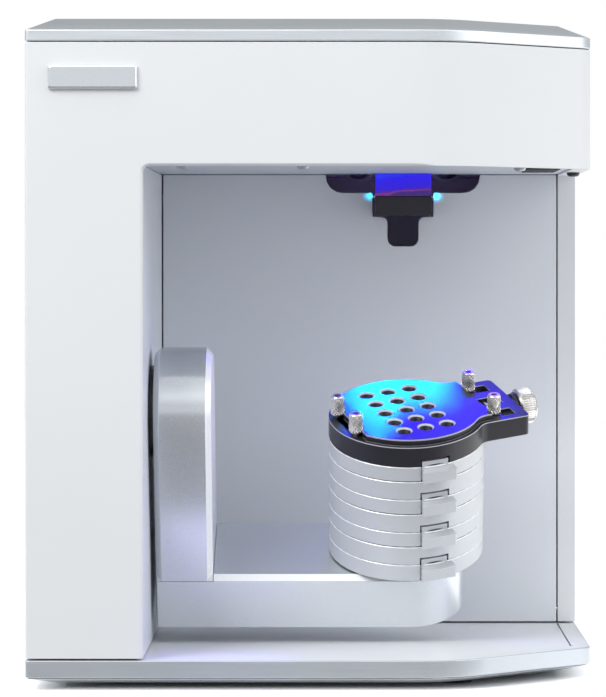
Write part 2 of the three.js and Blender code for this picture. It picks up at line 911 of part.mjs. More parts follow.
function belt(radiusA, centreB, radiusB, low, high) {
  const inner = beltLoop(radiusA + gap, centreB, radiusB + gap);
  const outer = beltLoop(radiusA + beltThickness, centreB, radiusB + beltThickness);
  return alongZ(outer, low, high, [inner]);
}

function stepperMotor(size, length, shaftEnd) {
  const half = size / 2;
  const body = alongZ(rectangle(-half, half, -half, half, motorCornerRadius), 0, length);
  return join(body, drum(motorShaftRadius, length - overrun, length + shaftEnd, smallSides));
}

function bearingBlock() {
  const half = blockSize / 2;
  const body = alongX(rectangle(-half, half, -half, half, motorCornerRadius), blockLeft, blockRight);
  const seat = aboutX(drum(bearingRadius + gap, blockLeft + panelThickness, blockRight + overrun));
  const passage = aboutX(drum(shaftRadius + 2 * gap, blockLeft - overrun, blockRight + overrun));
  return cut(body, seat, passage).translate(0, tiltY, tiltZ);
}

function ballBearing(bore, radius, low, high) {
  const groove = (radius - bore) / 6;
  const middle = (bore + radius) / 2;
  return turned([
    [bore, low], [middle - groove, low], [middle - groove, low + groove], [middle + groove, low + groove],
    [middle + groove, low], [radius, low], [radius, high], [bore, high],
  ]);
}

// Turntable stack, in its own frame: axis Z, zero at the underside of the platter
const table = new THREE.Group();
table.position.set(tableX, 0, platterBottom);
table.rotation.z = tableSpin * degree;

// One finger tab near the -Y side of a ring, its left side leaning outwards, with the key that
// enters the piece above
function fingerTab(ringTop) {
  const half = keyWidth / 2;
  const tipY = -discRadius - tabReach;
  const rootY = -discRadius + keyDepth;
  const outline = roundedPolygon(
    [
      point(-half, rootY), point(-half, -discRadius), point(-half - tabLean, tipY),
      point(tabWidth - half, tipY), point(tabWidth - half, -discRadius + tabReach / 2),
      point(tabWidth - half, rootY),
    ],
    [0, 0, cornerRadius / 4, cornerRadius / 2, 0, 0],
  );
  const tab = alongZ(outline, ringTop - tabHeight - tabReach / 4, ringTop - tabReach / 4);
  const keyFront = -Math.sqrt(discRadius ** 2 - half ** 2);
  const key = box(-half, half, keyFront, keyFront + keyDepth, ringTop - overrun, ringTop + keyHeight);
  return [tab, key].map((solid) => solid.rotateZ(tabTurn * degree));
}

// The slit that parts the tab from the ring on its left
function tabSlot(ringBottom, ringTop) {
  const half = keyWidth / 2;
  return box(
    -half - tabSlit, -half, -discRadius - overrun, -discRadius + keyDepth / 2, ringBottom, ringTop + keyHeight,
  ).rotateZ(tabTurn * degree);
}

function keyNotch(bottom) {
  const half = keyWidth / 2 + notchClearance;
  const notchBack = -Math.sqrt(discRadius ** 2 - (keyWidth / 2) ** 2) + keyDepth + notchClearance;
  const notchTop = bottom + keyHeight + notchClearance;
  const notch = box(-half, half, -discRadius - overrun, notchBack, bottom - overrun, notchTop);
  return notch.rotateZ(tabTurn * degree);
}

function turntablePlatter() {
  const top = platterHeight - gap;
  const shaftFoot = footBottom + armCoverThickness + gap - platterBottom;
  const disc = turned([
    [0, shaftFoot], [tableShaftRadius, shaftFoot], [tableShaftRadius, 0], [discRadius - edgeBreak, 0],
    [discRadius, edgeBreak], [discRadius, top - ringChamfer], [discRadius - ringChamfer, top],
    [spigotRadius, top], [spigotRadius, top + spigotHeight], [0, top + spigotHeight],
  ], fineSides);
  const solid = join(disc, ...fingerTab(top));
  return cut(solid, tabSlot(edgeBreak, top + overrun));
}

function heightSpacer(bottom) {
  const top = bottom + spacerPitch - gap;
  const ringBottom = top - ringHeight;
  const grooveBottom = ringBottom - ringGroove;
  const seat = spigotRadius + gap;
  const body = turned([
    [boreRadius, bottom + spigotHeight + gap], [seat, bottom + spigotHeight + gap], [seat, bottom],
    [discRadius, bottom], [discRadius, grooveBottom - ringChamfer],
    [discRadius - ringChamfer, grooveBottom], [discRadius - 2 * ringGroove, grooveBottom],
    [discRadius - 2 * ringGroove, ringBottom], [discRadius, ringBottom], [discRadius, top - ringChamfer],
    [discRadius - ringChamfer, top], [spigotRadius, top], [spigotRadius, top + spigotHeight],
    [boreRadius, top + spigotHeight],
  ], fineSides);
  const solid = join(body, ...fingerTab(top));
  return cut(solid, tabSlot(ringBottom, top + overrun), keyNotch(bottom));
}

// Jig outline, moved inwards by a distance: a disc whose right side runs through filleted necks
// into a square outrigger
function jigOutline(inset) {
  const disc = discRadius - inset;
  const neck = neckRadius + inset;
  const neckY = outriggerHalf + neckRadius;
  const neckX = Math.sqrt((discRadius + neckRadius) ** 2 - neckY ** 2);
  const start = Math.atan2(neckY, neckX);
  const end = outriggerEnd - outriggerRadius;
  const side = outriggerHalf - outriggerRadius;
  const corner = outriggerRadius - Math.min(inset, outriggerRadius - edgeBreak);
  return [
    ...arc(0, 0, disc, start, 2 * Math.PI - start, fineSides),
    ...arc(neckX, -neckY, neck, Math.PI - start, Math.PI / 2, cornerSteps).slice(1),
    ...arc(end, -side, corner, -Math.PI / 2, 0, cornerSteps),
    ...arc(end, side, corner, 0, Math.PI / 2, cornerSteps),
    ...arc(neckX, neckY, neck, -Math.PI / 2, start - Math.PI, cornerSteps).slice(0, -1),
  ];
}

const jigTop = jigBottom + jigHeight;
const jigRim = jigBottom + jigRimHeight;
const pocketRoof = jigRim - jawRoof;
const jawTop = pocketRoof - gap;
const jawHalf = jawThickness / 2;
const screwZ = jigBottom + screwRise;
const slotInner = jawRest - jawHalf - gap;
const slotOuter = jawRest + jawTravel + jawHalf + gap;
const pocketOuter = outriggerEnd - jawWall;

function fixtureHoles() {
  const holes = [];
  for (let column = -1; column <= 1; column += 1) {
    for (let row = -2; row <= 2; row += 1) {
      const hole = turned([
        [0, jigTop - holeDepth], [holeRadius, jigTop - holeDepth], [holeRadius, jigTop - sinkDepth],
        [sinkRadius, jigTop], [sinkRadius, jigTop + overrun], [0, jigTop + overrun],
      ], smallSides);
      holes.push(hole.translate(column * holePitch, row * holePitch, 0));
    }
  }
  return holes;
}

function jigBase() {
  const far = discRadius + overrun;
  const raisedZone = box(-raisedEdge, jigStep, -far, far, jigRim - overrun, jigTop);
  const postRoom = [-1, 1].map((side) => {
    const room = drum(postRadius + 2 * gap, jigRim - 2 * overrun, jigTop + overrun);
    return room.translate(-fixedPostX, side * fixedPostY, 0);
  });
  const raised = cut(
    meet(alongZ(jigOutline(jigLedge), jigRim - overrun, jigTop), raisedZone), ...postRoom,
  );
  const block = join(alongZ(jigOutline(0), jigBottom, jigRim), raised);
  const recess = drum(spigotRadius + gap, jigBottom - overrun, jigBottom + spigotHeight + gap);
  const pocketHalfWidth = jawWidth / 2 + gap;
  const pocket = box(
    slotInner, pocketOuter, -pocketHalfWidth, pocketHalfWidth, jigBottom - overrun, pocketRoof,
  );
  const slots = [-1, 1].map((side) => box(
    slotInner, slotOuter, side * jawPostY - slotWidth / 2, side * jawPostY + slotWidth / 2,
    pocketRoof - overrun, jigTop + overrun,
  ));
  const channel = box(
    slotInner, slotOuter, -channelWidth / 2, channelWidth / 2, pocketRoof - overrun, jigTop + overrun,
  );
  const screwHole = aboutX(drum(screwRadius + gap, pocketOuter - overrun, outriggerEnd + overrun, smallSides));
  screwHole.translate(0, 0, screwZ);
  const stemHoles = [-1, 1].map((side) => {
    const hole = drum(postStemRadius + gap, jigRim - postStemLength - gap, jigRim + overrun, smallSides);
    return hole.translate(-fixedPostX, side * fixedPostY, 0);
  });
  return cut(
    block, recess, keyNotch(jigBottom), pocket, ...slots, channel, screwHole,
    ...fixtureHoles(), ...stemHoles,
  );
}

// Knurled clamping post with a hexagon socket and a stem in its seat; a length of the stem stays
// bare under it
function clampPost(x, y, seat, bare) {
  const low = seat + bare;
  const top = low + postHeight;
  const post = turned([
    [0, seat - postStemLength], [postStemRadius, seat - postStemLength], [postStemRadius, low],
    [postRadius - postChamfer, low], [postRadius, low + postChamfer], [postRadius, top - postChamfer],
    [postRadius - postChamfer, top], [0, top],
  ], smallSides);
  const socket = drum(socketFlats / Math.sqrt(3), top - socketDepth, top + overrun, 6);
  return cut(post, socket).translate(x, y, 0);
}

function clampJaw() {
  const half = jawWidth / 2;
  const bar = box(jawRest - jawHalf, jawRest + jawHalf, -half, half, jigBottom + gap, jawTop);
  const bosses = [-1, 1].map((side) => box(
    jawRest - jawHalf, jawRest + jawHalf, side * jawPostY - slotWidth / 2 + gap,
    side * jawPostY + slotWidth / 2 - gap, jawTop - overrun, jigRim,
  ));
  const thread = aboutX(drum(screwRadius + gap, jawRest - jawThickness, jawRest + jawThickness, smallSides));
  const stemHoles = [-1, 1].map((side) => {
    const hole = drum(postStemRadius + gap, jigRim - postStemLength - gap, jigRim + overrun, smallSides);
    return hole.translate(jawRest, side * jawPostY, 0);
  });
  return cut(join(bar, ...bosses), thread.translate(0, 0, screwZ), ...stemHoles);
}

// Lead screw with its collar, and the ribbed knob on its end
const collarStart = outriggerEnd + gap;
const knobStart = collarStart + collarLength;
const knobEnd = knobStart + knobLength;

function clampScrew() {
  const start = slotInner + gap;
  const profile = [[0, start]];
  const turns = Math.floor((pocketOuter - start) / threadPitch) - 1;
  for (let i = 0; i < turns; i += 1) {
    const z = start + i * threadPitch;
    profile.push([screwRadius - threadDepth, z], [screwRadius, z + threadPitch / 2]);
  }
  profile.push(
    [screwRadius - threadDepth, start + turns * threadPitch], [screwRadius - threadDepth, pocketOuter],
    [screwRadius, pocketOuter], [screwRadius, collarStart], [collarRadius, collarStart],
    [collarRadius, knobStart - gap], [screwRadius, knobStart - gap], [screwRadius, knobEnd], [0, knobEnd],
  );
  return aboutX(turned(profile, smallSides)).translate(0, 0, screwZ);
}

function clampKnob() {
  const outline = [];
  for (let i = 0; i < 2 * knobRibs; i += 1) {
    const radius = knobRadius - (i % 2) * knobRibDepth;
    const angle = (Math.PI * i) / knobRibs;
    outline.push(point(radius * Math.cos(angle), radius * Math.sin(angle)));
  }
  const ribbed = alongZ(outline, knobStart, knobEnd);
  const blank = turned([
    [screwRadius + gap, knobStart - overrun], [screwRadius + gap, knobEnd + overrun],
    [knobRadius - knobChamfer, knobEnd + overrun], [knobRadius - knobChamfer, knobEnd],
    [knobRadius + edgeBreak, knobEnd - knobChamfer], [knobRadius + edgeBreak, knobStart + knobChamfer],
    [knobRadius - knobChamfer, knobStart], [knobRadius - knobChamfer, knobStart - overrun],
  ].reverse());
  return aboutX(meet(ribbed, blank)).translate(0, 0, screwZ);
}

// Rear panel: ports in a row, fan grille and intake slots
function portCut(x, portWidth, portHeight) {
  const halfWidth = portWidth / 2 + gap;
  const halfHeight = portHeight / 2 + gap;
  const outline = rectangle(x - halfWidth, x + halfWidth, portZ - halfHeight, portZ + halfHeight);
  return alongY(outline, panelInner - overrun, panelOuter + overrun);
}

function grilleSlots() {
  const slots = [];
  const rows = Math.floor((fanBore - ventHeight) / ventPitch);
  for (let row = -rows; row <= rows; row += 1) {
    const z = floorTop + fanRise + row * ventPitch;
    const half = Math.sqrt((fanBore - ventHeight / 2) ** 2 - (row * ventPitch) ** 2);
    const outline = rectangle(fanX - half, fanX + half, z - ventHeight / 2, z + ventHeight / 2);
    slots.push(alongY(outline, panelInner - overrun, panelOuter + overrun));
  }
  for (let i = 0; i < intakeCount; i += 1) {
    const z = floorTop + fanRise + (i - (intakeCount - 1) / 2) * ventPitch;
    const outline = rectangle(
      intakeX - intakeLength / 2, intakeX + intakeLength / 2, z - ventHeight / 2, z + ventHeight / 2,
    );
    slots.push(alongY(outline, panelInner - overrun, panelOuter + overrun));
  }
  return slots;
}

function rearPanel() {
  const outline = rectangle(
    -rearWidth / 2 + gap, rearWidth / 2 - gap, floorTop + rearBottom + gap, rearTop - gap, rearRadius,
  );
  return cut(
    alongY(outline, panelInner, panelOuter), ...grilleSlots(),
    portCut(inletX, inletWidth, inletHeight), portCut(switchX, switchWidth, switchHeight),
    portCut(usbX, usbWidth, usbHeight),
  );
}

// A port is a box through the panel with a flange on its outer face
function portBody(x, portWidth, portHeight, portDepth, flange, flangeDepth) {
  const halfWidth = portWidth / 2;
  const halfHeight = portHeight / 2;
  const body = box(
    x - halfWidth, x + halfWidth, panelOuter - portDepth, panelOuter + gap + overrun / 2,
    portZ - halfHeight, portZ + halfHeight,
  );
  const rim = alongY(
    rectangle(
      x - halfWidth - flange, x + halfWidth + flange, portZ - halfHeight - flange, portZ + halfHeight + flange,
      flange / 2,
    ),
    panelOuter + gap, panelOuter + gap + flangeDepth,
  );
  return join(body, rim);
}

const portFace = back + portProud;
const flangeDepth = portFace - panelOuter - gap;

function powerInlet() {
  const wall = inletFlange;
  const x0 = inletX - inletWidth / 2 + wall / 2;
  const x1 = inletX + inletWidth / 2 - wall / 2;
  const z0 = portZ - inletHeight / 2 + wall / 2;
  const z1 = portZ + inletHeight / 2 - wall / 2;
  const mouth = alongY(
    [point(x0, z0), point(x1, z0), point(x1, z1 - wall), point(x1 - wall, z1), point(x0 + wall, z1),
      point(x0, z1 - wall)],
    panelOuter - inletDepth + wall, portFace + overrun,
  );
  const bladeX = (place) => inletX + (place * inletWidth) / 4;
  const blades = [-1, 0, 1].map((place) => box(
    bladeX(place) - bladeThickness / 2, bladeX(place) + bladeThickness / 2,
    panelOuter - inletDepth + wall / 2, panelOuter - wall, portZ - bladeHeight / 2, portZ + bladeHeight / 2,
  ));
  const shell = portBody(inletX, inletWidth, inletHeight, inletDepth, inletFlange, flangeDepth);
  return join(cut(shell, mouth), ...blades);
}

function switchFrame() {
  const shell = portBody(switchX, switchWidth, switchHeight, switchDepth, switchWall, flangeDepth - gap);
  const mouth = box(
    switchX - switchWidth / 2 + switchWall, switchX + switchWidth / 2 - switchWall,
    panelOuter - switchDepth + switchWall, portFace + overrun,
    portZ - switchHeight / 2 + switchWall, portZ + switchHeight / 2 - switchWall,
  );
  return cut(shell, mouth);
}

// Rocker in its own frame: it turns about X at its centre and rests pressed on one side
const rocker = new THREE.Group();
const rockerHalf = switchHeight / 2 - switchWall - gap;
rocker.position.set(switchX, panelOuter - switchWall, portZ);
rocker.rotation.x = rockerThrow * degree;

function powerSwitch() {
  const half = switchWidth / 2 - switchWall - gap;
  const face = rockerHalf * Math.tan(rockerThrow * degree);
  const reach = rockerHalf * Math.cos(rockerThrow * degree) - face;
  const proud = switchWall + gap;
  const outline = [
    point(-reach, -reach / 2), point(0, -reach), point(proud + face, -reach), point(proud, 0),
    point(proud + face, reach), point(0, reach), point(-reach, reach / 2),
  ];
  return alongX(outline, -half, half);
}

function usbSocket() {
  const shell = portBody(usbX, usbWidth, usbHeight, usbDepth, switchWall, flangeDepth - gap);
  const mouth = box(
    usbX - usbWidth / 2 + switchWall, usbX + usbWidth / 2 - switchWall,
    panelOuter - usbDepth + switchWall, portFace + overrun,
    portZ - usbHeight / 2 + switchWall, portZ + usbHeight / 2 - switchWall,
  );
  const tongue = box(
    usbX - usbWidth / 4, usbX + usbWidth / 4, panelOuter - usbDepth + switchWall / 2, panelOuter - switchWall,
    portZ - switchWall / 2, portZ + switchWall / 2,
  );
  return join(cut(shell, mouth), tongue);
}

// Fan behind the grille, in its own frame: axis Z points out of the rear
const fan = new THREE.Group();
fan.position.set(fanX, panelInner - gap, floorTop + fanRise);
fan.rotation.x = -Math.PI / 2;

function fanFrame() {
  const half = fanSize / 2;
  const body = alongZ(rectangle(-half, half, -half, half, motorCornerRadius), -fanDepth, 0);
  const shell = cut(body, drum(fanBore, -fanDepth - overrun, overrun));
  const struts = [0, 1, 2].map((i) => {
    const strut = box(
      fanHub - overrun, fanBore + overrun, -fanBoss / 2, fanBoss / 2, -fanDepth, fanBoss - fanDepth,
    );
    return strut.rotateZ((2 * Math.PI * i) / 3);
  });
  const boss = drum(fanHub, -fanDepth, fanBoss - fanDepth);
  const pin = drum(fanPin, -fanDepth, -fanBoss - 2 * gap, smallSides);
  return join(shell, ...struts, boss, pin);
}

function fanRotor() {
  const low = fanBoss - fanDepth + 2 * gap;
  const hub = drum(fanHub, low, -fanBoss);
  const bladeHalf = (-fanBoss - low) / 2;
  const blades = [];
  for (let i = 0; i < fanBladeCount; i += 1) {
    const blade = box(
      fanHub - overrun, fanBlade, -bladeHalf, bladeHalf, -fanBladeThickness / 2, fanBladeThickness / 2,
    );
    blade.rotateX(fanBladePitch * degree).translate(0, 0, low + bladeHalf);
    blades.push(blade.rotateZ((2 * Math.PI * i) / fanBladeCount));
  }
  const bore = drum(fanPin + gap, low - overrun, -fanBoss - gap, smallSides);
  return cut(join(hub, ...blades), bore);
}

// Electronics behind the back wall
function mainBoard() {
  const y0 = backWallRear + gap + standoffLength;
  const y1 = y0 + boardThickness;
  const z0 = chamberTop - boardDrop - boardHeight;
  const x0 = boardX - boardWidth / 2;
  const board = box(x0, x0 + boardWidth, y0, y1, z0, z0 + boardHeight);
  const standoffs = [];
  for (const x of [x0 + standoffInset, x0 + boardWidth - standoffInset]) {
    for (const z of [z0 + standoffInset, z0 + boardHeight - standoffInset]) {
      const standoff = aboutY(drum(standoffRadius, -boardThickness / 2, standoffLength, smallSides));
      standoffs.push(standoff.rotateX(Math.PI).translate(x, y0, z));
    }
  }
  const chipShares = [[0.2, 0.5, 0.55, 0.85, 4], [0.62, 0.88, 0.6, 0.8, 6], [0.15, 0.85, 0.12, 0.2, 9]];
  const chips = chipShares.map(([a, b, c, d, rise]) => box(
    x0 + a * boardWidth, x0 + b * boardWidth, y1 - boardThickness / 2, y1 + rise * boardThickness,
    z0 + c * boardHeight, z0 + d * boardHeight,
  ));
  return join(board, ...standoffs, ...chips);
}

function powerSupply() {
  const y0 = backWallRear + supplySetback;
  const x0 = supplyX - supplyWidth / 2;
  const z0 = floorTop + gap;
  const body = box(x0, x0 + supplyWidth, y0, y0 + supplyDepth, z0, z0 + supplyHeight);
  const terminal = box(
    x0 - overrun, x0 + supplyWidth / 8, y0 - overrun, y0 + supplyDepth + overrun,
    z0 + supplyHeight / 3, z0 + supplyHeight + overrun,
  );
  return cut(body, terminal);
}

// Put every piece in its place
addPiece(scanner, 'base_plate', basePlate(), brushedPlate);
addPiece(scanner, 'bottom_cover', bottomCover(), brushedPlate);
const footPlaces = {
  foot_front_left: [left + footInset, front + footInset],
  foot_front_right: [right - facetAcross, front + footInset],
  foot_back_left: [left + footInset, back - footInset],
  foot_back_right: [right - footInset, back - footInset],
};
for (const [name, [x, y]] of Object.entries(footPlaces)) {
  addPiece(scanner, name, rubberFoot(x, y), blackRubber);
}
addPiece(scanner, 'housing_shell', housingShell(), whitePaint);
addPiece(scanner, 'top_lid', topLid(), brushedPlate);
addPiece(scanner, 'badge_plate', badgePlate(), silverAnodised);
addPiece(scanner, 'side_wall_panel', sideWallPanel(), chamberGrey);
addPiece(scanner, 'back_wall_panel', backWallPanel(), chamberGrey);
addPiece(scanner, 'ceiling_panel', ceilingPanel(), chamberGrey);
addPiece(scanner, 'projector_hood', projectorHood(), blackPlastic);
addPiece(scanner, 'hood_window', hoodWindow(), glassBlue);

addPiece(optics, 'projector_lens', lensBarrel(barrelRadius), lensGlass);
addPiece(
  optics, 'projector_body', opticsBody(projectorWidth / 2, projectorHeight / 2, projectorLength), blackAnodised,
);
for (const [side, sign] of [['left', -1], ['right', 1]]) {
  const x = (sign * cameraSpacing) / 2;
  const half = cameraSize / 2;
  addPiece(optics, `camera_lens_${side}`, lensBarrel(barrelRadius).translate(x, 0, 0), lensGlass);
  addPiece(
    optics, `camera_body_${side}`, opticsBody(half, half, cameraLength).translate(x, 0, 0), blackAnodised,
  );
}
scanner.add(optics);
addPiece(scanner, 'optics_bracket', opticsBracket(), galvanised);

addPiece(arm, 'arm_leg', armLeg(), silverAnodised);
addPiece(arm, 'arm_foot', armFoot(), silverAnodised);
addPiece(arm, 'arm_cover', armCover(), silverAnodised);
addPiece(arm, 'tilt_shaft', tiltShaft(), blackAnodised);
const tiltPulley = aboutX(pulley(tiltPulleyRadius, shaftRadius + gap, pulleyLeft, pulleyRight));
addPiece(arm, 'tilt_pulley', tiltPulley, galvanised);

// Tilt drive in the column; the belt and motor hang below the bearing block
const tiltDrive = new THREE.Group();
tiltDrive.position.set(0, tiltY, tiltZ);
const beltLow = (pulleyLeft + pulleyRight - beltWidth) / 2;
const tiltBelt = belt(tiltPulleyRadius, tiltBeltReach, tiltPinionRadius, beltLow, beltLow + beltWidth);
addPiece(tiltDrive, 'tilt_belt', aboutX(tiltBelt), blackRubber);
const tiltMotorLength = blockThickness - gap;
const tiltShaftEnd = tiltPulleyWidth + 2 * flangeWidth + 2 * gap;
const tiltMotor = stepperMotor(motorSize, tiltMotorLength, tiltShaftEnd).rotateY(-Math.PI / 2);
addPiece(tiltDrive, 'tilt_motor', tiltMotor.translate(sidePanelRear - gap, 0, -tiltBeltReach), blackAnodised);
const tiltPinion = aboutX(pulley(tiltPinionRadius, motorShaftRadius + gap, pulleyLeft, pulleyRight));
addPiece(tiltDrive, 'tilt_pinion', tiltPinion.translate(0, 0, -tiltBeltReach), galvanised);
scanner.add(tiltDrive);
addPiece(scanner, 'bearing_block', bearingBlock(), galvanised);
const tiltBearing = ballBearing(
  shaftRadius + gap, bearingRadius, blockRight - bearingWidth, blockRight,
);
addPiece(scanner, 'tilt_bearing', aboutX(tiltBearing).translate(0, tiltY, tiltZ), steel);

// Turntable drive in the foot
const drive = new THREE.Group();
drive.position.set(tableX, 0, 0);
const pulleyLow = footBottom + armCoverThickness + 2 * gap + flangeWidth;
const pulleyHigh = pulleyLow + tablePulleyWidth;
const roofZ = footTop - armPocketRoof;
const tableBeltLow = (pulleyLow + pulleyHigh - tableBeltWidth) / 2;
addPiece(
  drive, 'table_bearing',
  ballBearing(tableShaftRadius + gap, tableBearingRadius, roofZ + gap, footTop - gap), steel,
);
addPiece(
  drive, 'table_belt',
  belt(tablePulleyRadius, tableBeltReach, tablePinionRadius, tableBeltLow, tableBeltLow + tableBeltWidth)
    .rotateZ(Math.PI),
  blackRubber,
);
const tableMotor = stepperMotor(tableMotorSize, tableMotorLength, pulleyHigh - pulleyLow).rotateX(Math.PI);
addPiece(drive, 'table_motor', tableMotor.translate(-tableBeltReach, 0, roofZ - gap), blackAnodised);
addPiece(
  drive, 'table_pinion',
  pulley(tablePinionRadius, motorShaftRadius + gap, pulleyLow, pulleyHigh).translate(-tableBeltReach, 0, 0),
  galvanised,
);
arm.add(drive);

const tablePulley = pulley(
  tablePulleyRadius, tableShaftRadius + gap, pulleyLow - platterBottom, pulleyHigh - platterBottom,
);
addPiece(table, 'table_pulley', tablePulley, galvanised);
addPiece(table, 'turntable_platter', turntablePlatter(), silverAnodised);
for (let i = 0; i < spacerCount; i += 1) {
  addPiece(table, `height_spacer_${i + 1}`, heightSpacer(platterHeight + i * spacerPitch), silverAnodised);
}
addPiece(table, 'jig_base', jigBase(), blackAnodised);
addPiece(table, 'clamp_jaw', clampJaw(), blackAnodised);
addPiece(table, 'clamp_screw', clampScrew(), blackAnodised);
addPiece(table, 'clamp_knob', clampKnob(), steel);
for (const [place, sign] of [['front', -1], ['back', 1]]) {
  addPiece(table, `fixed_post_${place}`, clampPost(-fixedPostX, sign * fixedPostY, jigRim, postNeck), steel);
  addPiece(table, `jaw_post_${place}`, clampPost(jawRest, sign * jawPostY, jigRim, gap), steel);
}
arm.add(table);
scanner.add(arm);

addPiece(scanner, 'rear_panel', rearPanel(), whitePaint);
addPiece(scanner, 'power_inlet', powerInlet(), blackPlastic);
addPiece(scanner, 'switch_frame', switchFrame(), blackPlastic);
addPiece(rocker, 'power_switch', powerSwitch(), blackPlastic);
scanner.add(rocker);
addPiece(scanner, 'usb_socket', usbSocket(), galvanised);
addPiece(fan, 'fan_frame', fanFrame(), blackPlastic);
addPiece(fan, 'fan_rotor', fanRotor(), blackPlastic);
scanner.add(fan);
addPiece(scanner, 'main_board', mainBoard(), boardGreen);
addPiece(scanner, 'power_supply', powerSupply(), galvanised);

export default scanner;
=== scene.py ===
# %% [markdown]
# A desktop 3-D scanner with an open chamber. Every solid of the object arrives as a fixed frame,
# in metres, with its joints. This script gives each of them its finish and adds the small things a
# frame doesn't carry: rounded edges, knurls, screws, threads and lens glass.

import json
import math

import bmesh
import bpy
from mathutils import Matrix, Vector

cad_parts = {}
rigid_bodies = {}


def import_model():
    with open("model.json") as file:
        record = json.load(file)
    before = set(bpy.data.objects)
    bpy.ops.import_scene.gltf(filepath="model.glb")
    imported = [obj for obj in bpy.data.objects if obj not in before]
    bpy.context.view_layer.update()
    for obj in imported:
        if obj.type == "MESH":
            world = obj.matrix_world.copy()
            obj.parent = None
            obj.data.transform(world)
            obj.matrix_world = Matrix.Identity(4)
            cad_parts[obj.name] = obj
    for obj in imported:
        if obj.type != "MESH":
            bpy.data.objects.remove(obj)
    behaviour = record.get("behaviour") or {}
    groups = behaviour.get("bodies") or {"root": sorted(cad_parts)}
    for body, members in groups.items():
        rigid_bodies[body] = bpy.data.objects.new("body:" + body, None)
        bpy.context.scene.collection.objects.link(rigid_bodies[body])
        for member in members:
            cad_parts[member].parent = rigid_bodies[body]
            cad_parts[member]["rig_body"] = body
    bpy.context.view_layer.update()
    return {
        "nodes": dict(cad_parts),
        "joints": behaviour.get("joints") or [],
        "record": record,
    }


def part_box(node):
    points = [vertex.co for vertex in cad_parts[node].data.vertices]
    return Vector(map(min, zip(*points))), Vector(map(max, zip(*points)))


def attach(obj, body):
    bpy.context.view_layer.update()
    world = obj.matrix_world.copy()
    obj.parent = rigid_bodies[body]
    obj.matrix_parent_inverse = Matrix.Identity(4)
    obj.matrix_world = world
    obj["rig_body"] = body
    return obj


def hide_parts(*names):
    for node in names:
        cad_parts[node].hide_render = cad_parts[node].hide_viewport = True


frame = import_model()
nodes = frame["nodes"]
joints = {joint["name"]: joint for joint in frame["joints"]}

# %% [markdown]
# The camera comes first, because it decides what has to be finished with most care. The object is
# seen straight from the front with a long lens, a little below the header, so vertical lines stay
# upright. Shifting the lens instead of turning the camera keeps them so.

# %% Camera
front_face = -0.145
camera_distance = 1.88
eye_x = 0.015
eye_height = 0.2133
lens_length = 192.7
sensor_width = 36
lens_shift = (-0.056, -0.1155)


def in_scene(name, data):
    """A new object around a camera, a lamp or a mesh, linked to the scene."""
    item = bpy.data.objects.new(name, data)
    bpy.context.scene.collection.objects.link(item)
    return item


camera_data = bpy.data.cameras.new("camera")
camera_data.lens = lens_length
camera_data.sensor_width = sensor_width
camera_data.shift_x, camera_data.shift_y = lens_shift
camera = in_scene("camera", camera_data)
camera.location = (eye_x, front_face - camera_distance, eye_height)
camera.rotation_euler = (math.pi / 2, 0, 0)
bpy.context.scene.camera = camera
print("camera at", tuple(round(v, 3) for v in camera.location))

# %% [markdown]
# Turned and tilted pieces are easiest to make upright, at their own origin, and then set in place
# with one matrix. The joints give these places: the platter's axis is up, and the direction in
# which the clamping jaw slides is to the right.

# %% Places of the tilted pieces
def place_of(origin, right, up):
    """Matrix that stands a piece on the origin with its X along right and its Z along up."""
    up = Vector(up).normalized()
    forward = up.cross(Vector(right)).normalized()
    across = forward.cross(up)
    turn = Matrix((across, forward, up)).transposed().to_4x4()
    return Matrix.Translation(Vector(origin)) @ turn


def local_box(node, place):
    """Lowest and highest corner of a node, measured along the axes of a place."""
    back = place.inverted()
    corners = [back @ vertex.co for vertex in nodes[node].data.vertices]
    low = Vector([min(corner[i] for corner in corners) for i in range(3)])
    high = Vector([max(corner[i] for corner in corners) for i in range(3)])
    return low, high


spin_joint = joints["turntable_spin"]
jaw_direction = Vector(joints["clamp_jaw_slide"]["axis"])
table_place = place_of(spin_joint["pos_m"], jaw_direction, spin_joint["axis"])
table_up = table_place.to_3x3() @ Vector((0, 0, 1))
jig_low, jig_high = local_box("jig_base", table_place)
print("jig in its own axes", [round(v * 1000, 1) for v in (*jig_low, *jig_high)])

# %% [markdown]
# Materials and repeats are both trees of nodes. One helper adds a node and fills it: a name with a
# capital is an input, with underscores for spaces, and one in lower case is a setting.

# %% Nodes and their inputs
def plug(tree, socket, value):
    """Link a socket to an output, or set it to a plain value."""
    if isinstance(value, bpy.types.NodeSocket):
        tree.links.new(value, socket)
    else:
        socket.default_value = value


def wire(tree, node, **values):
    """Fill the inputs and settings of a node by their names."""
    for label, value in values.items():
        if label.islower():
            setattr(node, label, value)
        else:
            plug(tree, node.inputs[label.replace("_", " ")], value)
    return node


def add(tree, kind, **values):
    return wire(tree, tree.nodes.new(kind), **values)


print("node helpers ready for Blender", bpy.app.version_string)

# %% [markdown]
# A finish is never one flat value. Each material below mixes two close colours with noise and adds
# a fine bump at the scale of the real surface. All patterns read Object coordinates, which are
# metres here, so a scale of 1000 is a pattern of about 1 mm.

# %% Shader and noise
def blank(name, color, roughness, metallic=0.0):
    """A new material and its shader, with the plain values on the shader's own sockets."""
    material = bpy.data.materials.new(name)
    material.use_nodes = True
    tree = material.node_tree
    shader = tree.nodes["Principled BSDF"]
    wire(tree, shader, Base_Color=(*color, 1), Roughness=roughness, Metallic=metallic)
    return material, tree, shader


def coordinates(tree, scale=(1, 1, 1)):
    where = add(tree, "ShaderNodeTexCoord").outputs["Object"]
    return add(tree, "ShaderNodeMapping", Vector=where, Scale=scale).outputs["Vector"]


def noise(tree, scale, detail=3.0, pull=(1, 1, 1)):
    """Noise of a number of marks per metre, pulled out where the pull is small."""
    where = coordinates(tree, pull)
    texture = add(tree, "ShaderNodeTexNoise", Vector=where, Scale=scale, Detail=detail)
    return texture.outputs["Fac"]


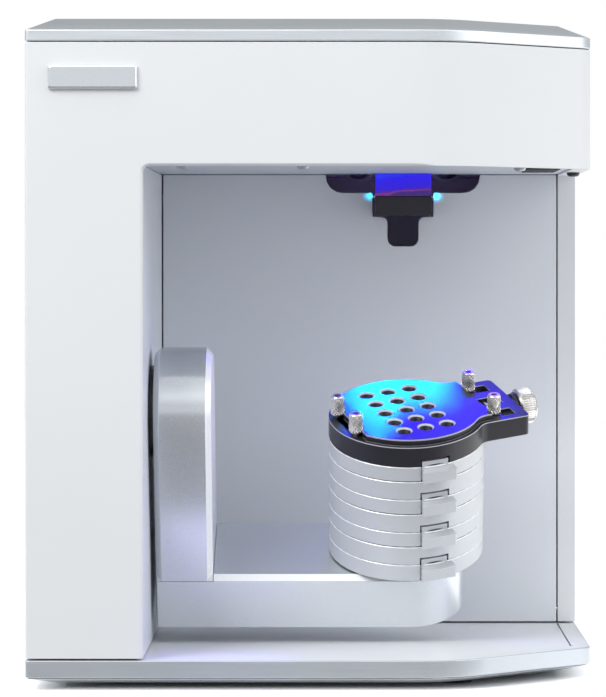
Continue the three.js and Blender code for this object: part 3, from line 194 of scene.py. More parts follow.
print("noise scales count marks per metre")

# %% [markdown]
# Noise stays near one half, so its middle has to be stretched before it can drive anything. The
# stretched value then mixes two tones, sets the gloss or lifts the surface.

# %% Ranges, mixes and bumps
def stretched(tree, value, low, high, first=0.0, last=1.0):
    """Map the range from low to high to the one from first to last, and stop at its ends."""
    node = add(tree, "ShaderNodeMapRange", Value=value, From_Min=low, From_Max=high)
    return wire(tree, node, To_Min=first, To_Max=last).outputs["Result"]


def spread(tree, value, first, last, middle=0.2):
    """Stretch the middle of a noise to the values first and last."""
    return stretched(tree, value, 0.5 - middle, 0.5 + middle, first, last)


def blended(tree, factor, first, second):
    """Mix of two sockets or plain colours by a factor."""
    a, b = ((*tone, 1) if isinstance(tone, tuple) else tone for tone in (first, second))
    node = add(tree, "ShaderNodeMix", data_type="RGBA", Factor=factor, A=a, B=b)
    return node.outputs["Result"]


def relief(tree, height, depth, strength=0.5):
    """Bump of the given depth in metres, as a normal for the shader."""
    bump = add(tree, "ShaderNodeBump", Height=height, Distance=depth, Strength=strength)
    return bump.outputs["Normal"]


print("noise between 0.3 and 0.7 is stretched to the full range")

# %% [markdown]
# Powder coat on sheet metal has a soft orange peel about 1 mm across and an even satin gloss.
# Cloud noise at hand size keeps the large panels from looking like a single flat fill. The panels
# of the chamber have a finer coat, and the ceiling is a darker grey than its walls.

# %% Coated metals
cloud_scale = 7
fine_peel = 1600
gloss_play = 0.05


def coated(name, color, shade, roughness, peel_scale=1100, peel_depth=0.00003):
    material, tree, shader = blank(name, color, roughness)
    cloud = spread(tree, noise(tree, cloud_scale), 0, 1)
    peel = noise(tree, peel_scale, 2)
    gloss = spread(tree, peel, roughness - gloss_play, roughness + gloss_play)
    wire(
        tree, shader, Base_Color=blended(tree, cloud, color, shade), Roughness=gloss,
        Normal=relief(tree, peel, peel_depth),
    )
    return material


white_paint = coated("white_paint", (0.75, 0.765, 0.78), (0.73, 0.745, 0.76), 0.42)
ceiling_grey = coated("ceiling_grey", (0.58, 0.61, 0.67), (0.55, 0.58, 0.64), 0.38, fine_peel)
chamber_grey = coated("chamber_grey", (0.75, 0.775, 0.815), (0.72, 0.745, 0.79), 0.38, fine_peel)
print("coated", white_paint.name, ceiling_grey.name, chamber_grey.name)

# %% [markdown]
# Some finishes below paint light and shade by the way a face looks: tops, flats and chamfers
# differ.
# The direction in which a face looks tells them apart. It comes from the Normal output, which
# turns with the piece, and a dot product says how far a face leans towards a direction.

# %% Sums and leaning faces
def computed(tree, kind, operation, values):
    """The outputs of a math node whose inputs are filled in order."""
    node = add(tree, kind, operation=operation)
    for socket, value in zip(node.inputs, values):
        plug(tree, socket, value)
    return node.outputs


def math_node(tree, operation, *values):
    return computed(tree, "ShaderNodeMath", operation, values)["Value"]


def between(tree, share, first, last):
    """The number that lies at a share of the way from first to last."""
    return math_node(tree, "MULTIPLY_ADD", share, last - first, first)


def vector_node(tree, operation, *values):
    result = "Value" if operation in ("DOT_PRODUCT", "LENGTH") else "Vector"
    return computed(tree, "ShaderNodeVectorMath", operation, values)[result]


def share_of_normal(tree, direction, low, high):
    """How far a face leans towards a direction, as a share of the way from low to high."""
    facing = add(tree, "ShaderNodeTexCoord").outputs["Normal"]
    return stretched(tree, vector_node(tree, "DOT_PRODUCT", facing, direction), low, high)


def leaning(tree, direction, stops):
    """One where the lean is between the middle stops, falling to zero at the outer ones."""
    start, full, last_full, end = stops
    rising = share_of_normal(tree, direction, start, full)
    falling = share_of_normal(tree, direction, end, last_full)
    return math_node(tree, "MULTIPLY", rising, falling)


print("up in the turntable's axes", [round(v, 3) for v in table_up])

# %% [markdown]
# Lid and base are thick aluminium plates, brushed along the width before anodising. Brush marks
# are noise pulled out along X: thousands of lines per metre across, a few dozen along. Tops and
# edges have their own tones, which are painted light and shade: painted shade on the lid's top and
# painted light on the base's top.

# %% Brushed plates
brush_pull = (25, 2600, 2600)
brush_roughness = 0.36
edge_metallic = 0.7


def brushed(name, edge_tones, painted_top_tones, top_metallic, stops):
    """Brushed plate. Faces that look up past the stops get the tones of the top, painted light and
    shade.
    """
    material, tree, shader = blank(name, edge_tones[0], brush_roughness, edge_metallic)
    lines = noise(tree, 1, 4, brush_pull)
    streaks = spread(tree, lines, 0, 1)
    painted_top_share = share_of_normal(tree, (0, 0, 1), *stops)
    edge, top = (blended(tree, streaks, *tones) for tones in (edge_tones, painted_top_tones))
    metal = between(tree, painted_top_share, edge_metallic, top_metallic)
    gloss = spread(tree, lines, brush_roughness + 0.09, brush_roughness - 0.07)
    wire(
        tree, shader, Base_Color=blended(tree, painted_top_share, edge, top), Metallic=metal,
        Roughness=gloss, Normal=relief(tree, lines, 0.00002, 0.35),
    )
    return material


# Edge and top tones. The top tones are painted shade on the lid and painted light on the base.
lid_tones = ((0.74, 0.77, 0.80), (0.66, 0.69, 0.72))
lid_top_painted_shade = ((0.48, 0.505, 0.53), (0.42, 0.445, 0.47))
base_tones = ((0.57, 0.605, 0.635), (0.51, 0.54, 0.57))
base_top_painted_light = ((0.79, 0.805, 0.82), (0.73, 0.745, 0.765))
brushed_plate = brushed("brushed_plate", lid_tones, lid_top_painted_shade, 0.75, (0.85, 0.95))
brushed_base = brushed("brushed_base", base_tones, base_top_painted_light, 0.1, (0.992, 0.999))
print("brushed", brushed_plate.name, brushed_base.name)

# %% [markdown]
# The arm and the small metal parts are bead blasted, which gives a fine grain with no direction.
# The leg's right flank and the chamfer along the front of the foot carry a painted highlight, a
# near-white and less metallic tone. They lean in different ways, so leg and foot have a material
# each.

# %% Blasted metals with painted highlights
bead_scale = 2400
# Near-white tone of the painted highlights on the arm and on the ring edges
painted_highlight_tone, painted_highlight_metallic = (0.96, 0.97, 0.98), 0.15
leg_flank, flank_stops = (1, 0, 0), (0.5, 0.6, 1.1, 1.2)
foot_chamfer, chamfer_stops = (0, -0.9272, 0.3746), (0.97, 0.99, 1.1, 1.2)


def beads(tree, color, shade, scale=bead_scale):
    """The marks of the blasting and the tone that follows them."""
    marks = noise(tree, scale)
    return marks, blended(tree, spread(tree, marks, 0, 1, 0.3), color, shade)


def blasted(name, color, shade, roughness, metallic, scale=bead_scale):
    material, tree, shader = blank(name, color, roughness, metallic)
    marks, tone = beads(tree, color, shade, scale)
    gloss = spread(tree, marks, roughness - 0.06, roughness + 0.06)
    wire(tree, shader, Base_Color=tone, Roughness=gloss, Normal=relief(tree, marks, 0.00003))
    return material


def blasted_with_painted_highlight(name, direction, stops):
    """Blasted flats with a painted highlight on the faces that lean towards a direction."""
    color, shade, roughness, metallic = (0.74, 0.765, 0.795), (0.70, 0.725, 0.755), 0.24, 0.75
    material, tree, shader = blank(name, color, roughness, metallic)
    marks, flat_tone = beads(tree, color, shade)
    painted_highlight = leaning(tree, direction, stops)
    metal = between(tree, painted_highlight, metallic, painted_highlight_metallic)
    gloss = spread(tree, marks, roughness - 0.04, roughness + 0.04)
    wire(
        tree, shader, Base_Color=blended(tree, painted_highlight, flat_tone, painted_highlight_tone), Metallic=metal,
        Roughness=gloss, Normal=relief(tree, marks, 0.000008, 0.4),
    )
    return material


silver_anodised = blasted_with_painted_highlight("silver_anodised", leg_flank, flank_stops)
foot_painted_highlight = blasted_with_painted_highlight("foot_painted_highlight", foot_chamfer, chamfer_stops)
black_anodised = blasted("black_anodised", (0.010, 0.009, 0.016), (0.022, 0.02, 0.032), 0.34, 0.0)
bright_steel = blasted("steel", (0.86, 0.84, 0.82), (0.66, 0.64, 0.62), 0.24, 0.95, 5000)
zinc_plated = blasted("zinc_plated", (0.52, 0.54, 0.56), (0.40, 0.42, 0.45), 0.42, 0.9, 900)
print("metals", silver_anodised.name, foot_painted_highlight.name, black_anodised.name, bright_steel.name)

# %% [markdown]
# The height spacers are turned rings with a painted highlight on their top edges and painted shade
# in the narrow seams between them. The black jig on top is anodised, with painted highlights on
# its upper edges. Both finishes know a point by its height along the turntable's axis and its
# distance from the axis.

# %% Spacers and jig
# Painted shade in the seams between the rings
painted_seam_shade = (0.05, 0.05, 0.06)
# Heights above the turntable's origin, each with half the width of the band
ring_seams = [
    (level, 0.0006) for level in
    (-0.0791, -0.06975, -0.0594, -0.0510, -0.0406, -0.03225, -0.0219, -0.0135)
]
# Bands of painted highlight on the jig's side edges: heights and half widths
jig_highlight_bands = [(0.0007, 0.0004), (-0.0027, 0.00025)]
platter_low, platter_high = local_box("turntable_platter", table_place)
ring_radius = min(-platter_low.x, -platter_low.y, platter_high.x, platter_high.y)
skin_depth, groove_depth = 0.0003, 0.0006


def along_axis(tree):
    """Height of a point above the turntable's origin and its distance from the axis."""
    offset = vector_node(tree, "SUBTRACT", coordinates(tree), table_place.translation)
    across = vector_node(tree, "CROSS_PRODUCT", offset, table_up)
    return vector_node(tree, "DOT_PRODUCT", offset, table_up), vector_node(tree, "LENGTH", across)


def near_levels(tree, height, levels):
    """One where the height is within any of the bands, each a middle and a half width."""
    total = 0.0
    for level, reach in levels:
        total = math_node(tree, "ADD", total, math_node(tree, "COMPARE", height, level, reach))
    return total


def ringed(name, color, shade, roughness, metallic):
    """Satin rings with painted highlights on their top edges and painted shade in the seams."""
    material, tree, shader = blank(name, color, roughness, metallic)
    marks, flat_tone = beads(tree, color, shade)
    # Painted highlight on the rings' top edges, and below it painted shade in the seams
    painted_highlight = leaning(tree, table_up, (0.4, 0.6, 0.85, 0.92))
    height, distance = along_axis(tree)
    deep = stretched(tree, distance, ring_radius - skin_depth, ring_radius - groove_depth)
    seam_shade = math_node(tree, "MULTIPLY", deep, near_levels(tree, height, ring_seams))
    tones = blended(tree, seam_shade, blended(tree, painted_highlight, flat_tone, painted_highlight_tone), painted_seam_shade)
    wire(tree, shader, Base_Color=tones, Normal=relief(tree, marks, 0.00001, 0.4))
    return material


def black_with_painted_edges(name, color, edge_highlight):
    """Black anodising with painted highlights on its rounded upper edges."""
    material, tree, shader = blank(name, color, 0.34)
    rounded = leaning(tree, table_up, (0.2, 0.4, 0.92, 0.98))
    sideways = share_of_normal(tree, table_up, 0.95, 0.8)
    bands = near_levels(tree, along_axis(tree)[0], jig_highlight_bands)
    # The painted highlight covers the rounded edges and the bands on the sides
    edge = math_node(tree, "MAXIMUM", rounded, math_node(tree, "MULTIPLY", sideways, bands))
    grain = relief(tree, noise(tree, bead_scale), 0.00003)
    wire(tree, shader, Base_Color=blended(tree, edge, color, edge_highlight), Normal=grain)
    return material


satin_anodised = ringed("satin_anodised", (0.61, 0.63, 0.655), (0.56, 0.58, 0.605), 0.42, 0.30)
black_jig = black_with_painted_edges("black_jig", (0.012, 0.011, 0.018), (0.50, 0.50, 0.55))
print("ring radius", round(ring_radius, 4), "seams", len(ring_seams), satin_anodised.name)

# %% [markdown]
# The black parts are moulded, with a fine spark-eroded grain. Rubber is the same idea, duller and
# coarser. The circuit board shows its pads and traces as a cell pattern under the green lacquer.

# %% Plastics, rubber and board
plastic_tones = ((0.02, 0.018, 0.026), (0.03, 0.027, 0.036))
rubber_tones = ((0.018, 0.018, 0.02), (0.03, 0.03, 0.032))
black_plastic = coated("black_plastic", *plastic_tones, 0.45, 3500, 0.00005)
black_rubber = coated("black_rubber", *rubber_tones, 0.8, 1800, 0.0001)


def board_lacquer():
    material, tree, shader = blank("circuit_board", (0.02, 0.12, 0.06), 0.35)
    cells = add(
        tree, "ShaderNodeTexVoronoi", feature="DISTANCE_TO_EDGE", Vector=coordinates(tree),
        Scale=180,
    )
    trace = spread(tree, cells.outputs["Distance"], 1, 0, 0.45)
    wire(tree, shader, Base_Color=blended(tree, trace, (0.015, 0.10, 0.05), (0.03, 0.22, 0.10)))
    return material


circuit_board = board_lacquer()
print("dark parts", black_plastic.name, black_rubber.name, circuit_board.name)

# %% [markdown]
# The projector's window glows deep blue, lighter towards its top. Its lower border runs a little
# aslant and carries a thin warm streak, which is a painted reflection. A colour ramp along the
# height, sheared by a small share of the width, gives all three.

# %% Glowing window
window_low, window_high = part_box("hood_window")
glow_strength = 0.85
window_shear = -0.1
# Glow by height; the warm stop at 0.07 is the painted reflection of the streak
window_glow_and_painted_reflection = [
    (0.0, (0.04, 0.012, 0.06)), (0.07, (0.20, 0.03, 0.10)), (0.13, (0.07, 0.006, 0.30)),
    (0.24, (0.02, 0.003, 0.62)), (0.70, (0.016, 0.004, 0.78)), (1.0, (0.012, 0.045, 0.95)),
]


def parts_of(tree, vector):
    """The X, Y and Z of a vector as separate outputs."""
    return add(tree, "ShaderNodeSeparateXYZ", Vector=vector).outputs


def ramp_of(tree, value, stops):
    """Smooth ramp. Each stop is a place with a grey or a colour."""
    ramp = add(tree, "ShaderNodeValToRGB", Fac=value)
    ramp.color_ramp.interpolation = "EASE"
    elements = ramp.color_ramp.elements
    while len(elements) < len(stops):
        elements.new(0.5)
    for element, (place, tone) in zip(elements, stops):
        element.position = place
        element.color = (tone, tone, tone, 1) if isinstance(tone, float) else (*tone, 1)
    return ramp.outputs["Color"]


def glowing_window():
    material, tree, shader = blank("blue_window", (0.01, 0.0, 0.25), 0.25)
    where = parts_of(tree, coordinates(tree))
    aslant = math_node(tree, "MULTIPLY_ADD", where["X"], window_shear, where["Z"])
    lowest = window_low.z + window_shear * window_low.x
    climb = stretched(tree, aslant, lowest, lowest + window_high.z - window_low.z)
    cloud = spread(tree, noise(tree, 1, 4, (90, 90, 300)), -0.06, 0.06)
    tones = ramp_of(tree, math_node(tree, "ADD", climb, cloud), window_glow_and_painted_reflection)
    wire(tree, shader, Emission_Color=tones, Emission_Strength=glow_strength)
    return material


blue_window = glowing_window()
print("window", blue_window.name, "height", round(window_high.z - window_low.z, 4))

# %% [markdown]
# Lens glass is nearly black with a coat that mirrors the room. The coat's own tint changes slowly
# over the glass, from deep blue to violet.

# %% Lens glass
def coated_glass():
    material, tree, shader = blank("lens_glass", (0.01, 0.012, 0.05), 0.06)
    bloom = spread(tree, noise(tree, 140), 0, 1)
    tone = blended(tree, bloom, (0.012, 0.01, 0.05), (0.03, 0.012, 0.075))
    wire(tree, shader, Base_Color=tone, Coat_Weight=1.0, Coat_Roughness=0.03)
    return material


lens_glass = coated_glass()
print("glass", lens_glass.name)

# %% [markdown]
# Every frame node gets its finish by the material slot that the record names for it. This covers
# the inner pieces at once. The visible ones are refined after that.

# %% Dress the frame by slot
finishes = {
    "white_paint": white_paint, "brushed_plate": brushed_plate, "silver_anodised": silver_anodised,
    "chamber_grey": chamber_grey, "black_anodised": black_anodised, "steel": bright_steel,
    "zinc_plated": zinc_plated, "black_plastic": black_plastic, "black_rubber": black_rubber,
    "blue_window": blue_window, "lens_glass": lens_glass, "circuit_board": circuit_board,
}
slot_of = {part["node"]: part["material_slot"] for part in frame["record"]["subparts"]}
for name, node in nodes.items():
    node.data.materials.clear()
    node.data.materials.append(finishes[slot_of[name]])
print("dressed", len(slot_of), "nodes with", len(finishes), "finishes")

# %% [markdown]
# A few pieces share a slot with others but have a finish of their own, such as the spacers. A
# finished piece rides on the body of its node and stands for that node from then on.

# %% Settle a finished piece
spacers = [f"height_spacer_{level}" for level in (1, 2, 3)]
own_finish = {
    **{ring: satin_anodised for ring in ("turntable_platter", *spacers)},
    "base_plate": brushed_base, "bottom_cover": brushed_base, "jig_base": black_jig,
    "arm_foot": foot_painted_highlight, "ceiling_panel": ceiling_grey,
}


def settle(piece, body, slot, *replaced):
    """Give a finished piece its material, its body and the nodes that it stands for."""
    piece.data.materials.clear()
    special = own_finish.get(replaced[0]) if replaced else None
    piece.data.materials.append(special or finishes[slot])
    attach(piece, body)
    if replaced:
        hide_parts(*replaced)
    return piece


def baked(source, name):
    """The result of an object's modifiers as a plain object. The source is used up."""
    bpy.context.view_layer.update()
    graph = bpy.context.evaluated_depsgraph_get()
    mesh = bpy.data.meshes.new_from_object(
        source.evaluated_get(graph), preserve_all_data_layers=True, depsgraph=graph,
    )
    bpy.data.objects.remove(source)
    return in_scene(name, mesh)


print("own finishes", len(own_finish))

# %% [markdown]
# Real edges are never knife sharp: a thin bright line runs along each of them. A copy of the node
# is merged into one skin, its flat faces are joined, a Bevel modifier rounds the edges, and
# weighted normals keep the flats flat. The rear panel stays as it is: its slots are too close for
# a bevel.

# %% Refine the edges of a node
weld_distance = 0.000003
flat_angle = math.radians(0.4)
crease = math.radians(26)


def refine(node, edge):
    """Replace a node by a copy whose edges are rounded by the given width in metres."""
    mesh = nodes[node].data.copy()
    skin = bmesh.new()
    skin.from_mesh(mesh)
    bmesh.ops.remove_doubles(skin, verts=skin.verts, dist=weld_distance)
    bmesh.ops.dissolve_limit(skin, angle_limit=flat_angle, verts=skin.verts, edges=skin.edges)
    skin.to_mesh(mesh)
    skin.free()
    for attribute in ("sharp_edge", "sharp_face", "custom_normal"):
        found = mesh.attributes.get(attribute)
        if found:
            mesh.attributes.remove(found)
    mesh.shade_smooth()
    mesh.set_sharp_from_angle(angle=crease)
    copy = in_scene(node + "_copy", mesh)
    bevel = copy.modifiers.new("edges", "BEVEL")
    bevel.width = edge
    bevel.segments = 2
    bevel.limit_method = "ANGLE"
    bevel.angle_limit = crease
    bevel.miter_outer = "MITER_ARC"
    normals = copy.modifiers.new("normals", "WEIGHTED_NORMAL")
    normals.keep_sharp = True
    piece = baked(copy, node + "_finished")
    return settle(piece, nodes[node]["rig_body"], slot_of[node], node)


feet = [f"foot_{end}_{side}" for end in ("front", "back") for side in ("left", "right")]
edge_width = {
    "housing_shell": 0.0005, "top_lid": 0.0005, "base_plate": 0.0003, "bottom_cover": 0.0003,
    "badge_plate": 0.0003, "side_wall_panel": 0.0002, "back_wall_panel": 0.0003,
    "ceiling_panel": 0.0002, "projector_hood": 0.0003, "hood_window": 0.0001,
    "arm_leg": 0.0005, "arm_foot": 0.0005, "arm_cover": 0.0002, "turntable_platter": 0.0004,
    **{spacer: 0.0004 for spacer in spacers}, "jig_base": 0.0006, "clamp_jaw": 0.0004,
    "power_inlet": 0.0004, "switch_frame": 0.0003, "power_switch": 0.0004,
    "usb_socket": 0.0003, "fan_frame": 0.0003, "optics_bracket": 0.0003, "bearing_block": 0.0004,
    **{foot: 0.0005 for foot in feet}, "main_board": 0.0001, "power_supply": 0.0004,
}
refined = [refine(node, edge) for node, edge in edge_width.items()]
print("refined", len(refined), "nodes")

# %% [markdown]
# Screws, posts and lens rings are turned on a lathe, and their drives are hexagons. One helper
# makes both: a profile of rings, in which a ring can be round or a hexagon of the same
# across-flats size.

# %% Turned pieces
round_sides = 72
small_sides = 36


def piece_from(work, name):
    """An object from an edited mesh, smooth except along its creases."""
    mesh = bpy.data.meshes.new(name)
    work.to_mesh(mesh)
    work.free()
    mesh.shade_smooth()
    mesh.set_sharp_from_angle(angle=crease)
    return in_scene(name, mesh)


def turned(name, profile, sides=round_sides):
    """A closed solid about Z from rings of (radius, height) or (radius, height, 'hex')."""
    work = bmesh.new()
    rings = []
    for radius, height, *form in profile:
        if radius == 0:
            rings.append([work.verts.new((0, 0, height))])
            continue
        ring = []
        for i in range(sides):
            angle = 2 * math.pi * i / sides
            reach = radius
            if form:
                reach = radius / math.cos((angle + math.pi / 6) % (math.pi / 3) - math.pi / 6)
            corner = (reach * math.cos(angle), reach * math.sin(angle), height)
            ring.append(work.verts.new(corner))
        rings.append(ring)
    for lower, upper in zip(rings, rings[1:]):
        for i in range(sides):
            j = (i + 1) % sides
            corners = [
                lower[i % len(lower)], lower[j % len(lower)],
                upper[j % len(upper)], upper[i % len(upper)],
            ]
            face = list(dict.fromkeys(corners))
            if len(face) > 2:
                work.faces.new(face)
    bmesh.ops.recalc_face_normals(work, faces=work.faces)
    return piece_from(work, name)


print("turned pieces have", round_sides, "or", small_sides, "sides")

# %% [markdown]
# Geometry Nodes make what repeats. Every tree starts with named inputs and ends in real geometry
# with one material. It runs on a handful of points, and its result is kept as a plain mesh.

# %% Frame of a geometry tree
def new_tree(name, inputs):
    """An empty geometry tree with named inputs, its first node and its last."""
    tree = bpy.data.node_groups.new(name, "GeometryNodeTree")
    tree.interface.new_socket("Geometry", in_out="INPUT", socket_type="NodeSocketGeometry")
    for label, (kind, value) in inputs.items():
        socket = tree.interface.new_socket(label, in_out="INPUT", socket_type="NodeSocket" + kind)
        if value is not None:
            socket.default_value = value
    tree.interface.new_socket("Geometry", in_out="OUTPUT", socket_type="NodeSocketGeometry")
    return tree, tree.nodes.new("NodeGroupInput"), tree.nodes.new("NodeGroupOutput")


def close_tree(tree, source, start, end):
    """Every tree ends in real geometry with one material."""
    real = add(tree, "GeometryNodeRealizeInstances", Geometry=source).outputs["Geometry"]
    coat = add(
        tree, "GeometryNodeSetMaterial", Geometry=real, Material=start.outputs["Material"],
    )
    wire(tree, end, Geometry=coat.outputs["Geometry"])


def grown(name, tree, values, points=((0, 0, 0),)):
    """Run a tree on a handful of points and return the result as a plain mesh object."""
    seed = bpy.data.meshes.new(name + "_seed")
    seed.from_pydata(points, [], [])
    carrier = in_scene(name + "_seed", seed)
    modifier = carrier.modifiers.new("grow", "NODES")
    modifier.node_group = tree
    for item in tree.interface.items_tree:
        if item.name in values:
            modifier[item.identifier] = values[item.name]
    return baked(carrier, name)


print("tree helpers", new_tree.__name__, close_tree.__name__, grown.__name__)

# %% [markdown]
# A knurl is two sets of fine helical ridges that cross. The tree makes one ridge as a spiral with
# a small square section, repeats it round the axis and does the same with the spiral reversed.
# With hardly any turn the ridges run straight, as on a thumb wheel.

# %% Geometry tree for knurls
ridge_corners = 4
spiral_points = 32


def round_turns(tree, count):
    """A rotation about Z that grows by an equal share of a full turn for each point."""
    index = add(tree, "GeometryNodeInputIndex").outputs["Index"]
    angle = math_node(tree, "MULTIPLY", math_node(tree, "DIVIDE", index, count), 2 * math.pi)
    return add(tree, "ShaderNodeCombineXYZ", Z=angle).outputs["Vector"]


def knurl_tree():
    tree, start, end = new_tree("crossed_ridges", {
        "Ridges": ("Int", 30), "Radius": ("Float", 0.0035), "Height": ("Float", 0.01),
        "Turns": ("Float", 0.2), "Ridge": ("Float", 0.0002), "Material": ("Material", None),
    })
    given = start.outputs
    joined = add(tree, "GeometryNodeJoinGeometry")
    section = add(
        tree, "GeometryNodeCurvePrimitiveCircle", Resolution=ridge_corners, Radius=given["Ridge"],
    )
    points = add(tree, "GeometryNodePoints", Count=given["Ridges"])
    for backwards in (False, True):
        spiral = add(
            tree, "GeometryNodeCurveSpiral", Resolution=spiral_points, Reverse=backwards,
            Rotations=given["Turns"], Start_Radius=given["Radius"], End_Radius=given["Radius"],
            Height=given["Height"],
        )
        ridge = add(
            tree, "GeometryNodeCurveToMesh", Fill_Caps=True, Curve=spiral.outputs["Curve"],
            Profile_Curve=section.outputs["Curve"],
        )
        repeat = add(
            tree, "GeometryNodeInstanceOnPoints", Points=points.outputs["Points"],
            Instance=ridge.outputs["Mesh"], Rotation=round_turns(tree, given["Ridges"]),
        )
        wire(tree, joined, Geometry=repeat.outputs["Instances"])
    close_tree(tree, joined.outputs["Geometry"], start, end)
    return tree


crossed_ridges = knurl_tree()
print("tree", crossed_ridges.name, "with", len(crossed_ridges.nodes), "nodes")

# %% [markdown]
# The four clamping posts are steel dowels with a knurled grip and a hexagon socket on top, two
# fixed in the jig and two on the jaw. The core is turned, the grip comes from the tree, and both
# are joined into one piece for each post.

# %% Knurled posts
stud_radius = 0.0016
socket_flats = 0.0015
socket_depth = 0.004
post_grip = 0.0108
post_chamfer = 0.0005
post_ridges = 15
post_ridge = 0.0003
post_turns = 0.3


def joined_pieces(name, pieces):
    """One object from several, which are used up."""
    work = bmesh.new()
    for piece in pieces:
        work.from_mesh(piece.data)
        bpy.data.objects.remove(piece)
    return piece_from(work, name)


def knurled_post(node):
    low, high = local_box(node, table_place)
    middle = (low + high) / 2
    radius = (high.x - low.x) / 2
    foot = high.z - post_grip
    core_radius = radius - post_ridge
    core = turned(node + "_core", [
        (0, low.z), (stud_radius, low.z), (stud_radius, foot), (core_radius - post_chamfer, foot),
        (core_radius, foot + post_chamfer), (core_radius, high.z - post_chamfer),
        (core_radius - post_chamfer, high.z), (socket_flats, high.z, "hex"),
        (socket_flats, high.z - socket_depth, "hex"), (0, high.z - socket_depth),
    ])
    grip_foot = foot + 2 * post_chamfer
    grip_height = high.z - 2 * post_chamfer - grip_foot
    grip = grown(node + "_grip", crossed_ridges, {
        "Ridges": post_ridges, "Radius": core_radius, "Height": grip_height,
        "Turns": post_turns, "Ridge": post_ridge, "Material": bright_steel,
    })
    grip.data.transform(Matrix.Translation((0, 0, grip_foot)))
    post = joined_pieces(node + "_knurled", [core, grip])
    post.data.transform(table_place @ Matrix.Translation((middle.x, middle.y, 0)))
    return settle(post, nodes[node]["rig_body"], "steel", node)


posts = [
    knurled_post(f"{kind}_post_{side}") for kind in ("fixed", "jaw") for side in ("front", "back")
]
print("posts", [len(post.data.polygons) for post in posts])

# %% [markdown]
# The lead screw carries a thread of 1.5 mm pitch and a black collar against the end of the jig. A
# thread this small reads as rings, so the profile is a saw tooth repeated by a loop. The piece is
# made upright and laid down along the direction in which the jaw slides.

# %% Lead screw
lie_down = Matrix.Rotation(math.pi / 2, 4, "Y")
screw_low, screw_high = local_box("clamp_screw", table_place)
knob_low, knob_high = local_box("clamp_knob", table_place)
screw_axis = (screw_low.z + screw_high.z) / 2
screw_place = table_place @ Matrix.Translation((0, 0, screw_axis)) @ lie_down
screw_radius = 0.0025
screw_bevel = 0.0006
screw_gap = 0.0003
thread_pitch = 0.0015
thread_depth = 0.0004
thread_end = jig_high.x - 0.0045
collar_radius = (screw_high.z - screw_low.z) / 2


def lead_screw():
    root = screw_radius - thread_depth
    profile = [(0, screw_low.x)]
    along = screw_low.x
    while along + 2 * thread_pitch < thread_end:
        profile += [(root, along), (screw_radius, along + thread_pitch / 2)]
        along += thread_pitch
    start, end = jig_high.x + screw_gap, knob_low.x - screw_gap
    profile += [
        (root, along), (root, thread_end), (screw_radius, thread_end), (screw_radius, start),
        (collar_radius - screw_bevel, start), (collar_radius, start + screw_bevel),
        (collar_radius, end - screw_bevel), (collar_radius - screw_bevel, end),
        (screw_radius, end), (screw_radius, knob_high.x - screw_bevel),
        (screw_radius - screw_bevel, knob_high.x), (0, knob_high.x),
    ]
    piece = turned("clamp_screw_threaded", profile)
    piece.data.transform(screw_place)
    return settle(piece, "clamp_screw", "black_anodised", "clamp_screw")


thread = lead_screw()
print("screw", len(thread.data.polygons), "faces")

# %% [markdown]
# The ribbed knob turns the screw. It is a sleeve with a shallow dish in its end face. Its ribs are
# the knurl again, with so little turn that they run straight.

# %% Knob
knob_ridges = 46
knob_ridge = 0.0005
knob_turns = 0.012
knob_chamfer = 0.0008
dish_depth = 0.0005
dish_rim, dish_floor = 0.62, 0.58


def ribbed_knob():
    length = knob_high.x - knob_low.x
    radius = (knob_high.z - knob_low.z) / 2 - knob_ridge
    bore = screw_radius + screw_gap
    core = turned("knob_core", [
        (bore, 0), (radius - knob_chamfer, 0), (radius, knob_chamfer),
        (radius, length - knob_chamfer), (radius - knob_chamfer, length),
        (radius * dish_rim, length), (radius * dish_floor, length - dish_depth),
        (bore, length - dish_depth), (bore, 0),
    ])
    grip = grown("knob_grip", crossed_ridges, {
        "Ridges": knob_ridges, "Radius": radius, "Height": length - 3 * knob_chamfer,
        "Turns": knob_turns, "Ridge": knob_ridge, "Material": bright_steel,
    })
    grip.data.transform(Matrix.Translation((0, 0, 1.5 * knob_chamfer)))
    knob = joined_pieces("clamp_knob_ribbed", [core, grip])
    knob.data.transform(screw_place @ Matrix.Translation((0, 0, knob_low.x)))
    return settle(knob, "clamp_screw", "steel", "clamp_knob")


knob = ribbed_knob()
print("knob", len(knob.data.polygons), "faces")

# %% [markdown]
# What is fixed with screws shows their heads. One tree sets a finished shape on every point it is
# given, so each group of screws is a list of places and one head, turned towards the right side.

# %% Geometry tree for screws
def set_tree():
    tree, start, end = new_tree("set_on_points", {
        "Head": ("Object", None), "Material": ("Material", None),
    })
    head = add(tree, "GeometryNodeObjectInfo", Object=start.outputs["Head"])
    repeat = add(
        tree, "GeometryNodeInstanceOnPoints", Points=start.outputs["Geometry"],
        Instance=head.outputs["Geometry"],
    )
    close_tree(tree, repeat.outputs["Instances"], start, end)
    return tree


set_on_points = set_tree()


def copies(name, shape, places, slot):
    """Copies of a shape on places as one object. The shape itself is used up."""
    values = {"Head": shape, "Material": finishes[slot]}
    whole = grown(name, set_on_points, values, places)
    bpy.data.objects.remove(shape)
    return whole


print("tree", set_on_points.name, "with", len(set_on_points.nodes), "nodes")

# %% [markdown]
# The ceiling is held by three small zinc plated button heads, the rail beside it by a black one. A
# button head is a flat dome with a hexagon recess. Here all of them point down.

# %% Screws of the ceiling
dome_steps = 5
crown_share = 0.45
rim_share = 0.15
recess_share = 0.35


def button_head(name, radius, rise, hexagon):
    """Domed head with a hexagon recess, its seat at zero and its dome upwards."""
    dome = []
    for i in range(dome_steps + 1):
        angle = 0.5 * math.pi * i / dome_steps
        out = radius * (crown_share + (1 - crown_share) * math.cos(angle))
        dome.append((out, rise * (rim_share + (1 - rim_share) * math.sin(angle))))
    recess = rise * recess_share
    drive = [(hexagon, rise, "hex"), (hexagon, recess, "hex"), (0, recess)]
    return turned(name, [(0, 0), (radius, 0), *dome, *drive], small_sides)


